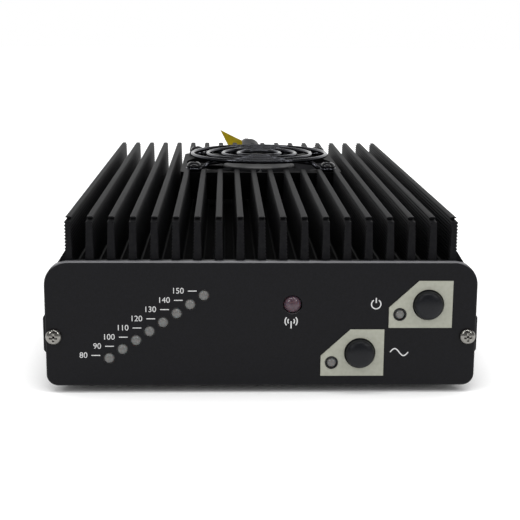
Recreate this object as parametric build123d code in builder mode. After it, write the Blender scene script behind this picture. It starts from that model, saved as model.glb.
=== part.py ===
from build123d import *
import os
from math import atan, atan2, cos, degrees, pi, radians, sin, sqrt, tan

os.makedirs("parts", exist_ok=True)

# Radio amplifier: a finned heat sink closes a tray, with a panel at each end and a fan let into the fins.
# Millimetres. +Z is up, the front panel faces -Y, and the origin lies on the table under the middle.

# Case
panel_width = 123.0
panel_height = 36.4
panel_thickness = 3.0
panel_top_radius = 6.8
panel_bottom_radius = 3.3
panel_edge_break = 0.3
case_length = 194.0
case_inset = 0.5  # the case lies this far inside the panels' outline
case_wall = 2.2
tray_floor = 2.0
foot_gap = 2.2  # the panels' lower edge above the table
foot_radius = 5.0
foot_tip_radius = 4.3
foot_inset_x = 14.0
foot_inset_y = 16.0

# Side rails, which hold the panel screws and the heat sink's hooks
rail_low = 9.0  # above the panels' lower edge
rail_height = 11.3
rail_width = 6.9
rail_proud = 1.0  # beyond the panels' edge
rail_round = 1.2
tongue_thickness = 1.4
tongue_inset = 0.6  # from the case side
hook_depth = 2.9
hook_thickness = 1.3
hook_reach = 1.4
slide_gap = 0.15

# Heat sink
base_thickness = 4.5
base_drop = 2.6  # the base's top below the panels' upper edge
fin_pitch = 6.1
fin_height = 14.6
fin_root = 2.7
fin_tip = 1.7
fin_tip_round = 0.4
fin_root_round = 0.8
fin_end_length = 4.4  # slope at both ends of the fins' tops
fin_end_drop = 1.9
shoulder_width = 5.2  # from the outermost fins' outer face to the case side
shoulder_rise = 5.0
shoulder_drop = 3.2

# Fan
fan_size = 60.0
fan_thickness = 10.0
fan_hole_inset = 5.0
fan_hole_radius = 2.15
fan_corner_radius = 4.0
fan_wall = 1.5
fan_offset_x = 3.0
fan_setback = 134.5  # fan's middle behind the case's front end
fan_drop = 1.4  # frame's top below the fins' tops
fan_pocket_gap = 0.8
motor_plate_radius = 13.0
motor_plate_thickness = 1.6
strut_count = 4
strut_width = 3.0
bearing_radius = 3.5
bearing_height = 4.6
stator_radius = 10.5
stator_height = 3.6
shaft_radius = 1.5
hub_radius = 14.0
hub_wall = 1.2
hub_drop = 0.6  # hub's top below the frame's top
blade_count = 7
blade_thickness = 1.0
blade_root_chord = 9.0
blade_root_pitch = 38.0
blade_tip_chord = 14.0
blade_tip_pitch = 23.0
blade_gap = 0.8
fan_screw_radius = 1.5
fan_screw_bite = 3.5
fan_screw_head_radius = 2.8
fan_screw_head_height = 2.0
fan_lead_radius = 0.8
fan_lead_spacing = 2.4
fan_lead_offset = 7.5
grommet_wall = 1.2
grommet_lip = 0.8

# Finger guard
guard_wire = 0.75  # radius
guard_rings = 4
guard_ring_step = 6.0
guard_ring_inset = 2.3
guard_weld = 0.2
guard_rise = 1.4  # from the eyelets up to the arms
guard_slope = 2.8
guard_bend = 1.6

# Front panel fittings; a rise is from the panel's middle, an inset from its edge
level_led_count = 8
level_led_inset = 18.0
level_led_rise = -9.95
level_led_step = (3.86, 2.63)
small_led_radius = 1.5
transmit_led_place = (8.75, 5.75)
transmit_led_radius = 2.6
led_proud = 1.1
led_rim = 1.0
led_rim_overlap = 0.35
led_lead = 0.5
led_lead_spacing = 1.6
led_gap = 0.15
plate_width = 18.1
plate_height = 13.7
plate_thickness = 0.5
plate_cut_low = 5.9  # left edge's height below the cut corner
plate_cut_in = 8.4  # cut corner's reach along the upper edge
power_plate_inset = 25.2
power_plate_rise = -0.95
mode_plate_inset = 44.5
mode_plate_rise = -15.2
plate_button_place = (11.2, 6.75)
plate_led_place = (3.1, 3.95)
button_radius = 4.15
button_length = 6.2
button_proud = 3.4
button_round = 0.9
button_gap = 0.35
button_travel = 2.0
plunger_radius = 1.5
plunger_gap = 0.06
switch_size = 8.4
switch_clear = 1.0  # switch's front behind a pressed cap
switch_length = 6.5
switch_floor = 1.0
panel_screw_inset = 2.4
panel_screw_rise = -3.6
panel_screw_radius = 1.25
panel_screw_length = 9.0
panel_screw_head_radius = 2.33
panel_screw_head_height = 1.7

# Circuit boards and what they carry
board_thickness = 1.6
board_margin = 0.8
front_board_gap = 3.1  # to the rails
spacer_radius = 2.5
spacer_stud = 1.4
spacer_stud_radius = 1.5
spacer_inset = (3.5, 6.5)  # outer spacers, from the front board's left and right edge
outer_spacer_rise = (3.0, -9.5)
inner_spacer_places = ((-22.0, -10.5), (22.0, 6.0))
board_screw_radius = 1.25
board_screw_bite = 4.0
board_screw_head_radius = 2.3
board_screw_head_height = 1.6
main_board_gap = 5.6  # to the rails
main_board_front = 22.0
main_board_rear = 15.0
standoff_height = 6.0
standoff_radius = 3.0
standoff_stud = 3.0
standoff_stud_radius = 1.5
standoff_inset = 6.0
flat_cable_width = 24.0
flat_cable_thickness = 1.2
transistor_count = 4
transistor_pitch = 20.0
transistor_width = 12.0
transistor_length = 16.0
transistor_height = 4.6
transistor_setback = 62.0
transistor_leg = 1.2
output_core = (30.0, 22.0, 13.0)
output_core_setback = 92.0
input_core = (16.0, 12.0, 9.0)
input_core_setback = 38.0
core_bore_share = 0.22
relay_size = (16.0, 19.5, 14.5)
coil_ring_radius = 6.0
coil_wire_radius = 2.6
coil_pitch = 19.0
seat_gap = 0.1
capacitor_radius = 5.0
capacitor_height = 13.0
capacitor_inset = 10.0  # from the standoffs towards the middle
capacitor_setbacks = (40.0, 92.0)

# Coaxial sockets on the rear panel
socket_inset = 21.5  # from the panel's edge to the socket's middle
socket_flange = 25.4
socket_flange_thickness = 2.4
socket_flange_round = 1.5
socket_barrel_radius = 7.94
socket_barrel_length = 11.4
socket_bore_radius = 6.0
socket_spigot = 1.0
socket_hole_gap = 0.2
socket_hole_spacing = 18.2
socket_screw_radius = 1.5
socket_screw_length = 5.0
socket_screw_head_radius = 2.7
socket_screw_head_height = 1.8
insulator_recess = 3.0
insulator_tail = 1.0
contact_radius = 2.9
contact_bore_radius = 2.0
contact_bore_depth = 9.0
contact_recess = 1.0
contact_tail = 4.0
socket_wire_radius = 0.8

# Power cord
cord_radius = 3.25
cord_offset_x = 4.0
cord_rise = 2.1  # above the panel's middle
relief_neck_radius = 5.0
relief_flange_radius = 7.0
relief_flange_thickness = 2.5
relief_lip_radius = 6.2
relief_lip_thickness = 2.0
relief_length = 20.0
relief_end_radius = 4.2
core_radius = 1.3
core_spacing = 3.4
terminal_size = (14.0, 9.0, 11.0)
terminal_setback = 24.0
bend_share = 0.45  # of the shorter run beside it, taken by each bend
coil_radius = 40.0  # outermost turn, at the middle of the cord
coil_turns = 3.5
coil_tail = 22.0  # straight end that carries the plug clear of the coil
turn_gap = 0.6
tie_thickness = 0.8
tie_width = 6.0
tie_gap = 0.2
tag_share = 0.68  # along the cord's third run
tag_length = 14.0
tag_reach = 16.5
tag_thickness = 0.5
tag_gap = 0.7
tag_tilt = 28.0
plug_length = 24.0
plug_width = 12.0
plug_collar_length = 7.0
plug_collar_radius = 4.2
plug_round = 1.2
plug_pin_radius = 1.3
plug_pin_spacing = 6.0
plug_pin_seat = 5.0
plug_pin_length = 14.0

# Pan heads: edge round and recess as shares of the head's height and radius
head_round = 0.6
recess_depth = 0.55
recess_span = 1.2
recess_width = 0.26

# Clearance of a screw's plain shank in its thread and in a through hole
thread_gap = 0.05
screw_gap = 0.15

# Solids that stand on their place or hang from it
standing = (Align.CENTER, Align.CENTER, Align.MIN)
hanging = (Align.CENTER, Align.CENTER, Align.MAX)

# Heights and depths that follow from the sizes above
panel_low_z = foot_gap
panel_mid_z = panel_low_z + panel_height / 2
panel_top_z = panel_low_z + panel_height
case_half = panel_width / 2 - case_inset
tray_low_z = panel_low_z + case_inset
tray_floor_z = tray_low_z + tray_floor
rail_low_z = panel_low_z + rail_low
rail_top_z = rail_low_z + rail_height
rail_outer = panel_width / 2 + rail_proud
rail_inner = rail_outer - rail_width
front_board_half_width = rail_inner - front_board_gap
main_board_half_width = rail_inner - main_board_gap
base_top_z = panel_top_z - base_drop
base_low_z = base_top_z - base_thickness
fin_top_z = base_top_z + fin_height
fan_top_z = fin_top_z - fan_drop
fan_seat_z = fan_top_z - fan_thickness
socket_reach = socket_flange_thickness + socket_barrel_length
overall_length = button_proud + 2 * panel_thickness + case_length + socket_reach
panel_front_y = -overall_length / 2 + button_proud
case_front_y = panel_front_y + panel_thickness
case_rear_y = case_front_y + case_length
rear_face_y = case_rear_y + panel_thickness
fan_y = case_front_y + fan_setback
screw_x = panel_width / 2 - panel_screw_inset
socket_offset_x = panel_width / 2 - socket_inset
screw_z = panel_mid_z + panel_screw_rise


def front_plane(y):
    # Upright sketch plane that faces the front: its x is X and its y is Z
    return Plane.XZ.offset(-y)


def on_panel(place):
    # A place given from the panel's middle, as sketch coordinates
    return (place[0], panel_mid_z + place[1])


def pan_screw(shank_radius, length, head_radius, head_height):
    # Cross-recessed pan-head screw, its head standing up on z = 0
    with BuildPart() as screw:
        Cylinder(head_radius, head_height, align=standing)
        fillet(screw.edges().group_by(Axis.Z)[-1], head_height * head_round)
        Cylinder(shank_radius, length, align=hanging)
        with BuildSketch(Plane.XY.offset(head_height)):
            Rectangle(head_radius * recess_span, head_radius * recess_width)
            Rectangle(head_radius * recess_width, head_radius * recess_span)
        extrude(amount=-head_height * recess_depth, mode=Mode.SUBTRACT)
    return screw.part


def panel_outline(sketch):
    # Panel's outline with rounder corners at its top
    with Locations((0, panel_mid_z)):
        Rectangle(panel_width, panel_height)
    fillet(sketch.vertices().group_by(Axis.Y)[-1], panel_top_radius)
    fillet(sketch.vertices().group_by(Axis.Y)[0], panel_bottom_radius)


# Heat sink: half of its section up to the middle plane, then the fins
tongue_outer = case_half - tongue_inset
tongue_inner = tongue_outer - tongue_thickness
hook_inner = tongue_inner - hook_reach
hook_low_z = rail_top_z - hook_depth
hook_top_z = hook_low_z + hook_thickness
outer_face_x = case_half - shoulder_width
fins_each_side = int((outer_face_x - fin_tip / 2) // fin_pitch)
fin_count = 2 * fins_each_side + 1
outer_fin_x = fin_pitch * fins_each_side
fin_angle = 90 - degrees(atan((fin_root - fin_tip) / 2 / fin_height))
standoff_y = (
    case_front_y + main_board_front + standoff_inset,
    case_rear_y - main_board_rear - standoff_inset,
)
standoff_x = main_board_half_width - standoff_inset
standoff_rows = (standoff_y[0], sum(standoff_y) / 2, standoff_y[1])
standoff_places = [(x, y) for x in (-standoff_x, standoff_x) for y in standoff_rows]
fan_screw_spacing = fan_size - 2 * fan_hole_inset
grommet_bore = fan_lead_spacing / 2 + fan_lead_radius + seat_gap
grommet_radius = grommet_bore + grommet_wall
fan_lead_y = fan_y + fan_lead_offset
with BuildPart() as heat_sink:
    with BuildSketch(front_plane(case_rear_y)) as section:
        with BuildLine():
            Polyline(
                (0, base_low_z),
                (case_half - case_wall, base_low_z),
                (case_half - case_wall, rail_top_z),
                (tongue_inner, rail_top_z),
                (tongue_inner, hook_top_z),
                (hook_inner, hook_top_z),
                (hook_inner, hook_low_z),
                (tongue_outer, hook_low_z),
                (tongue_outer, rail_top_z),
                (case_half, rail_top_z),
                (case_half, base_top_z - shoulder_drop),
                (outer_face_x, base_top_z + shoulder_rise),
                (outer_face_x, fin_top_z),
                (outer_fin_x, fin_top_z),
                (outer_fin_x, base_top_z),
                (0, base_top_z),
                close=True,
            )
        make_face()
        mirror(about=Plane.YZ)
        with Locations((0, base_top_z)):
            with GridLocations(fin_pitch, 1, fin_count, 1):
                Trapezoid(fin_root, fin_height, fin_angle, align=(Align.CENTER, Align.MIN))
        fin_tips = section.vertices().group_by(Axis.Y)[-1]
        fillet(fin_tips, fin_tip_round)
        fin_roots = [v for v in section.vertices() if abs(v.Y - base_top_z) < 0.01]
        fillet(fin_roots, fin_root_round)
    extrude(amount=case_length)
    with BuildSketch(Plane.YZ):
        for end, inward in ((case_front_y, 1), (case_rear_y, -1)):
            with BuildLine():
                Polyline(
                    (end, fin_top_z),
                    (end + inward * fin_end_length, fin_top_z),
                    (end, fin_top_z - fin_end_drop),
                    close=True,
                )
            make_face()
    extrude(amount=panel_width / 2, both=True, mode=Mode.SUBTRACT)
    with BuildSketch(Plane.XY.offset(fan_seat_z)):
        with Locations((fan_offset_x, fan_y)):
            Rectangle(fan_size + 2 * fan_pocket_gap, fan_size + 2 * fan_pocket_gap)
    extrude(amount=fan_thickness + fan_drop, mode=Mode.SUBTRACT)
    with BuildSketch(Plane.XY.offset(base_low_z)):
        with Locations((fan_offset_x, fan_y)):
            with GridLocations(fan_screw_spacing, fan_screw_spacing, 2, 2):
                Circle(fan_screw_radius + thread_gap)
        with Locations((fan_offset_x, fan_lead_y)):
            Circle(grommet_radius)
    extrude(amount=fin_height + base_thickness, mode=Mode.SUBTRACT)
    with BuildSketch(Plane.XY.offset(base_low_z)):
        with Locations(*standoff_places):
            Circle(standoff_stud_radius + thread_gap)
    extrude(amount=standoff_stud, mode=Mode.SUBTRACT)
heat_sink.part.label = "heat_sink"
export_step(heat_sink.part, "parts/heat_sink.step")

# Bottom tray: floor, walls and side rails with a slot for each hook and a channel for the panel screws
with BuildPart() as bottom_tray:
    with BuildSketch(front_plane(case_rear_y)) as section:
        with Locations((0, tray_low_z)):
            Rectangle(2 * case_half, tray_floor, align=(Align.CENTER, Align.MIN))
        with Locations((0, tray_low_z)):
            with GridLocations(2 * case_half - case_wall, 1, 2, 1):
                Rectangle(case_wall, rail_low_z - tray_low_z, align=(Align.CENTER, Align.MIN))
        with Locations((0, rail_low_z)):
            with GridLocations(2 * rail_outer - rail_width, 1, 2, 1):
                Rectangle(rail_width, rail_height, align=(Align.CENTER, Align.MIN))
        fillet(section.vertices().group_by(Axis.Y)[0], panel_bottom_radius - case_inset)
        rail_corners = section.vertices().group_by(Axis.X)
        fillet(rail_corners[0] + rail_corners[-1], rail_round)
        slot_inner = hook_inner - slide_gap
        slot_outer = tongue_outer + slide_gap
        for side in (-1, 1):
            with Locations((side * (tongue_inner - slide_gap + slot_outer) / 2, rail_top_z)):
                Rectangle(
                    slot_outer - tongue_inner + slide_gap,
                    hook_depth + slide_gap,
                    align=(Align.CENTER, Align.MAX),
                    mode=Mode.SUBTRACT,
                )
            with Locations((side * (slot_inner + slot_outer) / 2, hook_low_z - slide_gap)):
                Rectangle(
                    slot_outer - slot_inner,
                    hook_thickness + 2 * slide_gap,
                    align=(Align.CENTER, Align.MIN),
                    mode=Mode.SUBTRACT,
                )
        with Locations((-screw_x, screw_z), (screw_x, screw_z)):
            Circle(panel_screw_radius + thread_gap, mode=Mode.SUBTRACT)
    extrude(amount=case_length)
bottom_tray.part.label = "bottom_tray"
export_step(bottom_tray.part, "parts/bottom_tray.step")

# Rubber feet under the tray
with BuildPart() as rubber_feet:
    with Locations((0, (case_front_y + case_rear_y) / 2, 0)):
        with GridLocations(panel_width - 2 * foot_inset_x, case_length - 2 * foot_inset_y, 2, 2):
            Cone(foot_tip_radius, foot_radius, tray_low_z, align=standing)
rubber_feet.part.label = "rubber_feet"
export_step(rubber_feet.part, "parts/rubber_feet.step")

# Front panel with its plates, buttons, switches and lamps
level_led_x = level_led_inset - panel_width / 2
level_led_places = [
    on_panel((level_led_x + i * level_led_step[0], level_led_rise + i * level_led_step[1]))
    for i in range(level_led_count)
]
plate_corners = {
    "power": (panel_width / 2 - power_plate_inset, power_plate_rise),
    "mode": (panel_width / 2 - mode_plate_inset, mode_plate_rise),
}
button_places = {}
plate_led_places = {}
for name, corner in plate_corners.items():
    button_places[name] = on_panel((corner[0] + plate_button_place[0], corner[1] + plate_button_place[1]))
    plate_led_places[name] = on_panel((corner[0] + plate_led_place[0], corner[1] + plate_led_place[1]))
spacer_places = (
    (spacer_inset[0] - front_board_half_width, outer_spacer_rise[0]),
    *inner_spacer_places,
    (front_board_half_width - spacer_inset[1], outer_spacer_rise[1]),
)
spacer_spots = [on_panel(place) for place in spacer_places]
switch_front_y = panel_front_y - button_proud + button_length + button_travel + switch_clear
front_board_y = switch_front_y + switch_length
with BuildPart() as front_panel:
    with BuildSketch(front_plane(case_front_y)) as outline:
        panel_outline(outline)
    extrude(amount=panel_thickness)
    front_rim = front_panel.faces().sort_by(Axis.Y)[0].outer_wire().edges()
    chamfer(front_rim, panel_edge_break)
    with BuildSketch(front_plane(panel_front_y)):
        with Locations(*level_led_places, *plate_led_places.values()):
            Circle(small_led_radius + led_gap)
        with Locations(on_panel(transmit_led_place)):
            Circle(transmit_led_radius + led_gap)
        with Locations(*button_places.values()):
            Circle(button_radius + button_gap)
        with Locations((-screw_x, screw_z), (screw_x, screw_z)):
            Circle(panel_screw_radius + screw_gap)
    extrude(amount=-panel_thickness, mode=Mode.SUBTRACT)
    with BuildSketch(front_plane(case_front_y)):
        with Locations(*spacer_spots):
            Circle(spacer_stud_radius + thread_gap)
    extrude(amount=spacer_stud, mode=Mode.SUBTRACT)
front_panel.part.label = "front_panel"
export_step(front_panel.part, "parts/front_panel.step")

for name, corner in plate_corners.items():
    left, low = on_panel(corner)
    with BuildPart() as button_plate:
        with BuildSketch(front_plane(panel_front_y)):
            with BuildLine():
                Polyline(
                    (left, low),
                    (left + plate_width, low),
                    (left + plate_width, low + plate_height),
                    (left + plate_cut_in, low + plate_height),
                    (left, low + plate_cut_low),
                    close=True,
                )
            make_face()
            with Locations(button_places[name]):
                Circle(button_radius + button_gap, mode=Mode.SUBTRACT)
            with Locations(plate_led_places[name]):
                Circle(small_led_radius + led_gap, mode=Mode.SUBTRACT)
        extrude(amount=plate_thickness)
    button_plate.part.label = f"{name}_plate"
    export_step(button_plate.part, f"parts/{name}_plate.step")

plunger_length = switch_clear + switch_length - switch_floor - screw_gap
for name, place in button_places.items():
    with BuildPart() as push_button:
        with BuildSketch(front_plane(panel_front_y - button_proud)):
            with Locations(place):
                Circle(button_radius)
        extrude(amount=-button_length)
        fillet(push_button.faces().sort_by(Axis.Y)[0].edges(), button_round)
        with BuildSketch(front_plane(panel_front_y - button_proud + button_length)):
            with Locations(place):
                Circle(plunger_radius)
        extrude(amount=-plunger_length)
    push_button.part.label = f"{name}_button"
    export_step(push_button.part, f"parts/{name}_button.step")

    with BuildPart() as switch_body:
        with BuildSketch(front_plane(switch_front_y)):
            with Locations(place):
                Rectangle(switch_size, switch_size)
        extrude(amount=-switch_length)
        with BuildSketch(front_plane(switch_front_y)):
            with Locations(place):
                Circle(plunger_radius + plunger_gap)
        extrude(amount=-(switch_length - switch_floor), mode=Mode.SUBTRACT)
    switch_body.part.label = f"{name}_switch"
    export_step(switch_body.part, f"parts/{name}_switch.step")


def lamp(radius):
    # Domed lamp with a rim behind the panel and two leads down to the front board, tip up
    length = led_proud + panel_thickness + led_rim
    leads = front_board_y - case_front_y - led_rim
    with BuildPart() as led:
        Cylinder(radius, length - radius, align=standing)
        with Locations((0, 0, length - radius)):
            Sphere(radius)
        Cylinder(radius + led_rim_overlap, led_rim, align=standing)
        with GridLocations(led_lead_spacing, 1, 2, 1):
            Box(led_lead, led_lead, leads, align=hanging)
    return led.part


def lamp_spot(place):
    # Lamps stand on the plane behind their rim and point out of the panel
    return Location((place[0], case_front_y + led_rim, place[1]), (90, 0, 0))


small_lamp = lamp(small_led_radius)
with BuildPart() as level_leds:
    with Locations(*[lamp_spot(place) for place in level_led_places]):
        add(small_lamp)
level_leds.part.label = "level_leds"
export_step(level_leds.part, "parts/level_leds.step")

with BuildPart() as transmit_led:
    with Locations(lamp_spot(on_panel(transmit_led_place))):
        add(lamp(transmit_led_radius))
transmit_led.part.label = "transmit_led"
export_step(transmit_led.part, "parts/transmit_led.step")

for name, place in plate_led_places.items():
    with BuildPart() as plate_led:
        with Locations(lamp_spot(place)):
            add(small_lamp)
    plate_led.part.label = f"{name}_led"
    export_step(plate_led.part, f"parts/{name}_led.step")

# Screws of both panels, driven into the rails' channels
panel_screw = pan_screw(
    panel_screw_radius, panel_screw_length, panel_screw_head_radius, panel_screw_head_height
)
with BuildPart() as front_panel_screws:
    with Locations(*[Location((x, panel_front_y, screw_z), (90, 0, 0)) for x in (-screw_x, screw_x)]):
        add(panel_screw)
front_panel_screws.part.label = "front_panel_screws"
export_step(front_panel_screws.part, "parts/front_panel_screws.step")

with BuildPart() as rear_panel_screws:
    with Locations(*[Location((x, rear_face_y, screw_z), (-90, 0, 0)) for x in (-screw_x, screw_x)]):
        add(panel_screw)
rear_panel_screws.part.label = "rear_panel_screws"
export_step(rear_panel_screws.part, "parts/rear_panel_screws.step")

# Front board on pillars that are pressed into the panel's back
front_board_low_z = tray_floor_z + board_margin
front_board_high_z = base_low_z - board_margin
with BuildPart() as front_board:
    with BuildSketch(front_plane(front_board_y)):
        with Locations((0, (front_board_low_z + front_board_high_z) / 2)):
            Rectangle(2 * front_board_half_width, front_board_high_z - front_board_low_z)
        with Locations(*spacer_spots):
            Circle(board_screw_radius + screw_gap, mode=Mode.SUBTRACT)
    extrude(amount=-board_thickness)
front_board.part.label = "front_board"
export_step(front_board.part, "parts/front_board.step")

with BuildPart() as front_board_spacers:
    with BuildSketch(front_plane(front_board_y)):
        with Locations(*spacer_spots):
            Circle(spacer_radius)
    extrude(amount=front_board_y - case_front_y)
    with BuildSketch(front_plane(case_front_y)):
        with Locations(*spacer_spots):
            Circle(spacer_stud_radius)
    extrude(amount=spacer_stud)
    with BuildSketch(front_plane(front_board_y)):
        with Locations(*spacer_spots):
            Circle(board_screw_radius + thread_gap)
    extrude(amount=board_screw_bite + screw_gap, mode=Mode.SUBTRACT)
front_board_spacers.part.label = "front_board_spacers"
export_step(front_board_spacers.part, "parts/front_board_spacers.step")

board_screw = pan_screw(
    board_screw_radius, board_thickness + board_screw_bite, board_screw_head_radius, board_screw_head_height
)
front_board_rear_y = front_board_y + board_thickness
with BuildPart() as front_board_screws:
    with Locations(*[Location((x, front_board_rear_y, z), (-90, 0, 0)) for x, z in spacer_spots]):
        add(board_screw)
front_board_screws.part.label = "front_board_screws"
export_step(front_board_screws.part, "parts/front_board_screws.step")

# Main board, hung from the heat sink on standoffs
board_top_z = base_low_z - standoff_height
board_low_z = board_top_z - board_thickness
board_front_y = case_front_y + main_board_front
board_rear_y = case_rear_y - main_board_rear
with BuildPart() as main_board:
    with BuildSketch(Plane.XY.offset(board_low_z)):
        with Locations((0, (board_front_y + board_rear_y) / 2)):
            Rectangle(2 * main_board_half_width, board_rear_y - board_front_y)
        with Locations(*standoff_places):
            Circle(board_screw_radius + screw_gap, mode=Mode.SUBTRACT)
    extrude(amount=board_thickness)
main_board.part.label = "main_board"
export_step(main_board.part, "parts/main_board.step")

with BuildPart() as board_standoffs:
    with BuildSketch(Plane.XY.offset(board_top_z)):
        with Locations(*standoff_places):
            RegularPolygon(standoff_radius, 6)
    extrude(amount=standoff_height)
    with BuildSketch(Plane.XY.offset(base_low_z)):
        with Locations(*standoff_places):
            Circle(standoff_stud_radius)
    extrude(amount=standoff_stud - screw_gap)
    with BuildSketch(Plane.XY.offset(board_top_z)):
        with Locations(*standoff_places):
            Circle(board_screw_radius + thread_gap)
    extrude(amount=board_screw_bite + screw_gap, mode=Mode.SUBTRACT)
board_standoffs.part.label = "board_standoffs"
export_step(board_standoffs.part, "parts/board_standoffs.step")

with BuildPart() as board_screws:
    with Locations(*[Location((x, y, board_low_z), (180, 0, 0)) for x, y in standoff_places]):
        add(board_screw)
board_screws.part.label = "board_screws"
export_step(board_screws.part, "parts/board_screws.step")

with BuildPart() as flat_cable:
    with BuildSketch(front_plane(front_board_rear_y)):
        with Locations((0, board_low_z + board_thickness / 2)):
            Rectangle(flat_cable_width, flat_cable_thickness)
    extrude(amount=-(board_front_y - front_board_rear_y))
flat_cable.part.label = "flat_cable"
export_step(flat_cable.part, "parts/flat_cable.step")

# Power transistors: flat cases against the heat sink, legs down to the board
with BuildPart() as rf_transistors:
    with Locations((0, case_front_y + transistor_setback, base_low_z)):
        with GridLocations(transistor_pitch, 1, transistor_count, 1):
            Box(transistor_width, transistor_length, transistor_height, align=hanging)
            with GridLocations(1, transistor_length - transistor_leg, 1, 2):
                Box(
                    transistor_width / 2,
                    transistor_leg,
                    standoff_height,
                    align=hanging,
                )
rf_transistors.part.label = "rf_transistors"
export_step(rf_transistors.part, "parts/rf_transistors.step")

# Ferrite transformers with two bores each, under the board
for name, core, setback in (
    ("output", output_core, output_core_setback),
    ("input", input_core, input_core_setback),
):
    with BuildPart() as transformer:
        with Locations((0, case_front_y + setback, board_low_z)):
            Box(*core, align=hanging)
        with BuildSketch(front_plane(case_front_y + setback - core[1] / 2)):
            with Locations((0, board_low_z - core[2] / 2)):
                with GridLocations(core[0] / 2, 1, 2, 1):
                    Circle(core[2] * core_bore_share)
        extrude(amount=-core[1], mode=Mode.SUBTRACT)
    transformer.part.label = f"{name}_transformer"
    export_step(transformer.part, f"parts/{name}_transformer.step")

relay_inset = standoff_inset + board_screw_head_radius + board_margin
relay_y = board_rear_y - relay_inset - relay_size[1] / 2
with BuildPart() as relays:
    with Locations((0, relay_y, board_low_z)):
        with GridLocations(2 * socket_offset_x, 1, 2, 1):
            Box(*relay_size, align=hanging)
relays.part.label = "relays"
export_step(relays.part, "parts/relays.step")

# Filter coils, between the relays and midway from the output transformer to the terminal block
terminal_y = case_rear_y - terminal_setback
output_core_rear_y = case_front_y + output_core_setback + output_core[1] / 2
coil_row_y = (output_core_rear_y + terminal_y - terminal_size[1] / 2) / 2
coil_space = socket_offset_x - relay_size[0] / 2 - coil_ring_radius - coil_wire_radius
coil_count = 2 * int(coil_space // coil_pitch) + 1
with BuildPart() as filter_coils:
    with Locations((0, coil_row_y, board_low_z - coil_wire_radius - seat_gap)):
        with GridLocations(coil_pitch, 1, coil_count, 1):
            Torus(coil_ring_radius, coil_wire_radius)
filter_coils.part.label = "filter_coils"
export_step(filter_coils.part, "parts/filter_coils.step")

with BuildPart() as capacitors:
    for setback in capacitor_setbacks:
        with Locations((0, case_front_y + setback, board_low_z)):
            with GridLocations(2 * (standoff_x - capacitor_inset), 1, 2, 1):
                Cylinder(capacitor_radius, capacitor_height, align=hanging)
capacitors.part.label = "capacitors"
export_step(capacitors.part, "parts/capacitors.step")

# Fan, let into the fins and seated on what the cutter left of them
fan_bore_radius = fan_size / 2 - fan_wall
motor_plate_z = fan_seat_z + motor_plate_thickness
shaft_low_z = fan_seat_z + motor_plate_thickness / 2
with BuildPart() as fan_frame:
    with BuildSketch(Plane.XY.offset(fan_seat_z)):
        with Locations((fan_offset_x, fan_y)):
            RectangleRounded(fan_size, fan_size, fan_corner_radius)
            Circle(fan_bore_radius, mode=Mode.SUBTRACT)
            with GridLocations(fan_screw_spacing, fan_screw_spacing, 2, 2):
                Circle(fan_hole_radius, mode=Mode.SUBTRACT)
    extrude(amount=fan_thickness)
    with BuildSketch(Plane.XY.offset(fan_seat_z)):
        with Locations((fan_offset_x, fan_y)):
            Circle(motor_plate_radius)
            with PolarLocations((motor_plate_radius + fan_bore_radius) / 2, strut_count):
                Rectangle(fan_bore_radius - motor_plate_radius + 2 * fan_wall / 3, strut_width)
    extrude(amount=motor_plate_thickness)
    with BuildSketch(Plane.XY.offset(motor_plate_z)):
        with Locations((fan_offset_x, fan_y)):
            Circle(bearing_radius)
    extrude(amount=bearing_height)
    with BuildSketch(Plane.XY.offset(shaft_low_z)):
        with Locations((fan_offset_x, fan_y)):
            Circle(shaft_radius + thread_gap)
    extrude(amount=fan_thickness, mode=Mode.SUBTRACT)
    with BuildSketch(Plane.XY.offset(fan_seat_z)):
        with Locations((fan_offset_x, fan_lead_y)):
            with GridLocations(fan_lead_spacing, 1, 2, 1):
                Circle(fan_lead_radius)
    extrude(amount=motor_plate_thickness / 2, mode=Mode.SUBTRACT)
fan_frame.part.label = "fan_frame"
export_step(fan_frame.part, "parts/fan_frame.step")

with BuildPart() as fan_stator:
    with BuildSketch(Plane.XY.offset(motor_plate_z)):
        with Locations((fan_offset_x, fan_y)):
            Circle(stator_radius)
            Circle(bearing_radius + thread_gap, mode=Mode.SUBTRACT)
    extrude(amount=stator_height)
fan_stator.part.label = "fan_stator"
export_step(fan_stator.part, "parts/fan_stator.step")

# Rotor: a cup over the stator, its shaft in the bearing, and twisted blades
hub_top_z = fan_top_z - hub_drop
hub_low_z = motor_plate_z + blade_gap
blade_tip_radius = fan_bore_radius - blade_gap
blade_mid_z = (hub_low_z + hub_top_z) / 2
with BuildPart() as blade:
    for radius, chord, pitch in (
        (hub_radius - hub_wall / 2, blade_root_chord, blade_root_pitch),
        (fan_bore_radius, blade_tip_chord, blade_tip_pitch),
    ):
        with BuildSketch(Plane((radius, 0, blade_mid_z), x_dir=(0, 1, 0), z_dir=(1, 0, 0))):
            Rectangle(chord, blade_thickness, rotation=pitch)
    loft()
with BuildPart() as fan_rotor:
    with Locations((fan_offset_x, fan_y)):
        with PolarLocations(0, blade_count):
            add(blade.part)
    with Locations((fan_offset_x, fan_y, blade_mid_z)):
        Cylinder(blade_tip_radius, fan_thickness, mode=Mode.INTERSECT)
    with BuildSketch(Plane.XY.offset(hub_low_z)):
        with Locations((fan_offset_x, fan_y)):
            Circle(hub_radius)
    extrude(amount=hub_top_z - hub_low_z)
    fillet(fan_rotor.faces().sort_by(Axis.Z)[-1].outer_wire().edges(), hub_wall / 2)
    with BuildSketch(Plane.XY.offset(hub_low_z)):
        with Locations((fan_offset_x, fan_y)):
            Circle(hub_radius - hub_wall)
    extrude(amount=hub_top_z - hub_low_z - hub_wall, mode=Mode.SUBTRACT)
    with BuildSketch(Plane.XY.offset(shaft_low_z + seat_gap)):
        with Locations((fan_offset_x, fan_y)):
            Circle(shaft_radius)
    extrude(amount=hub_top_z - hub_wall / 2 - shaft_low_z - seat_gap)
fan_rotor.part.label = "fan_rotor"
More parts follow.
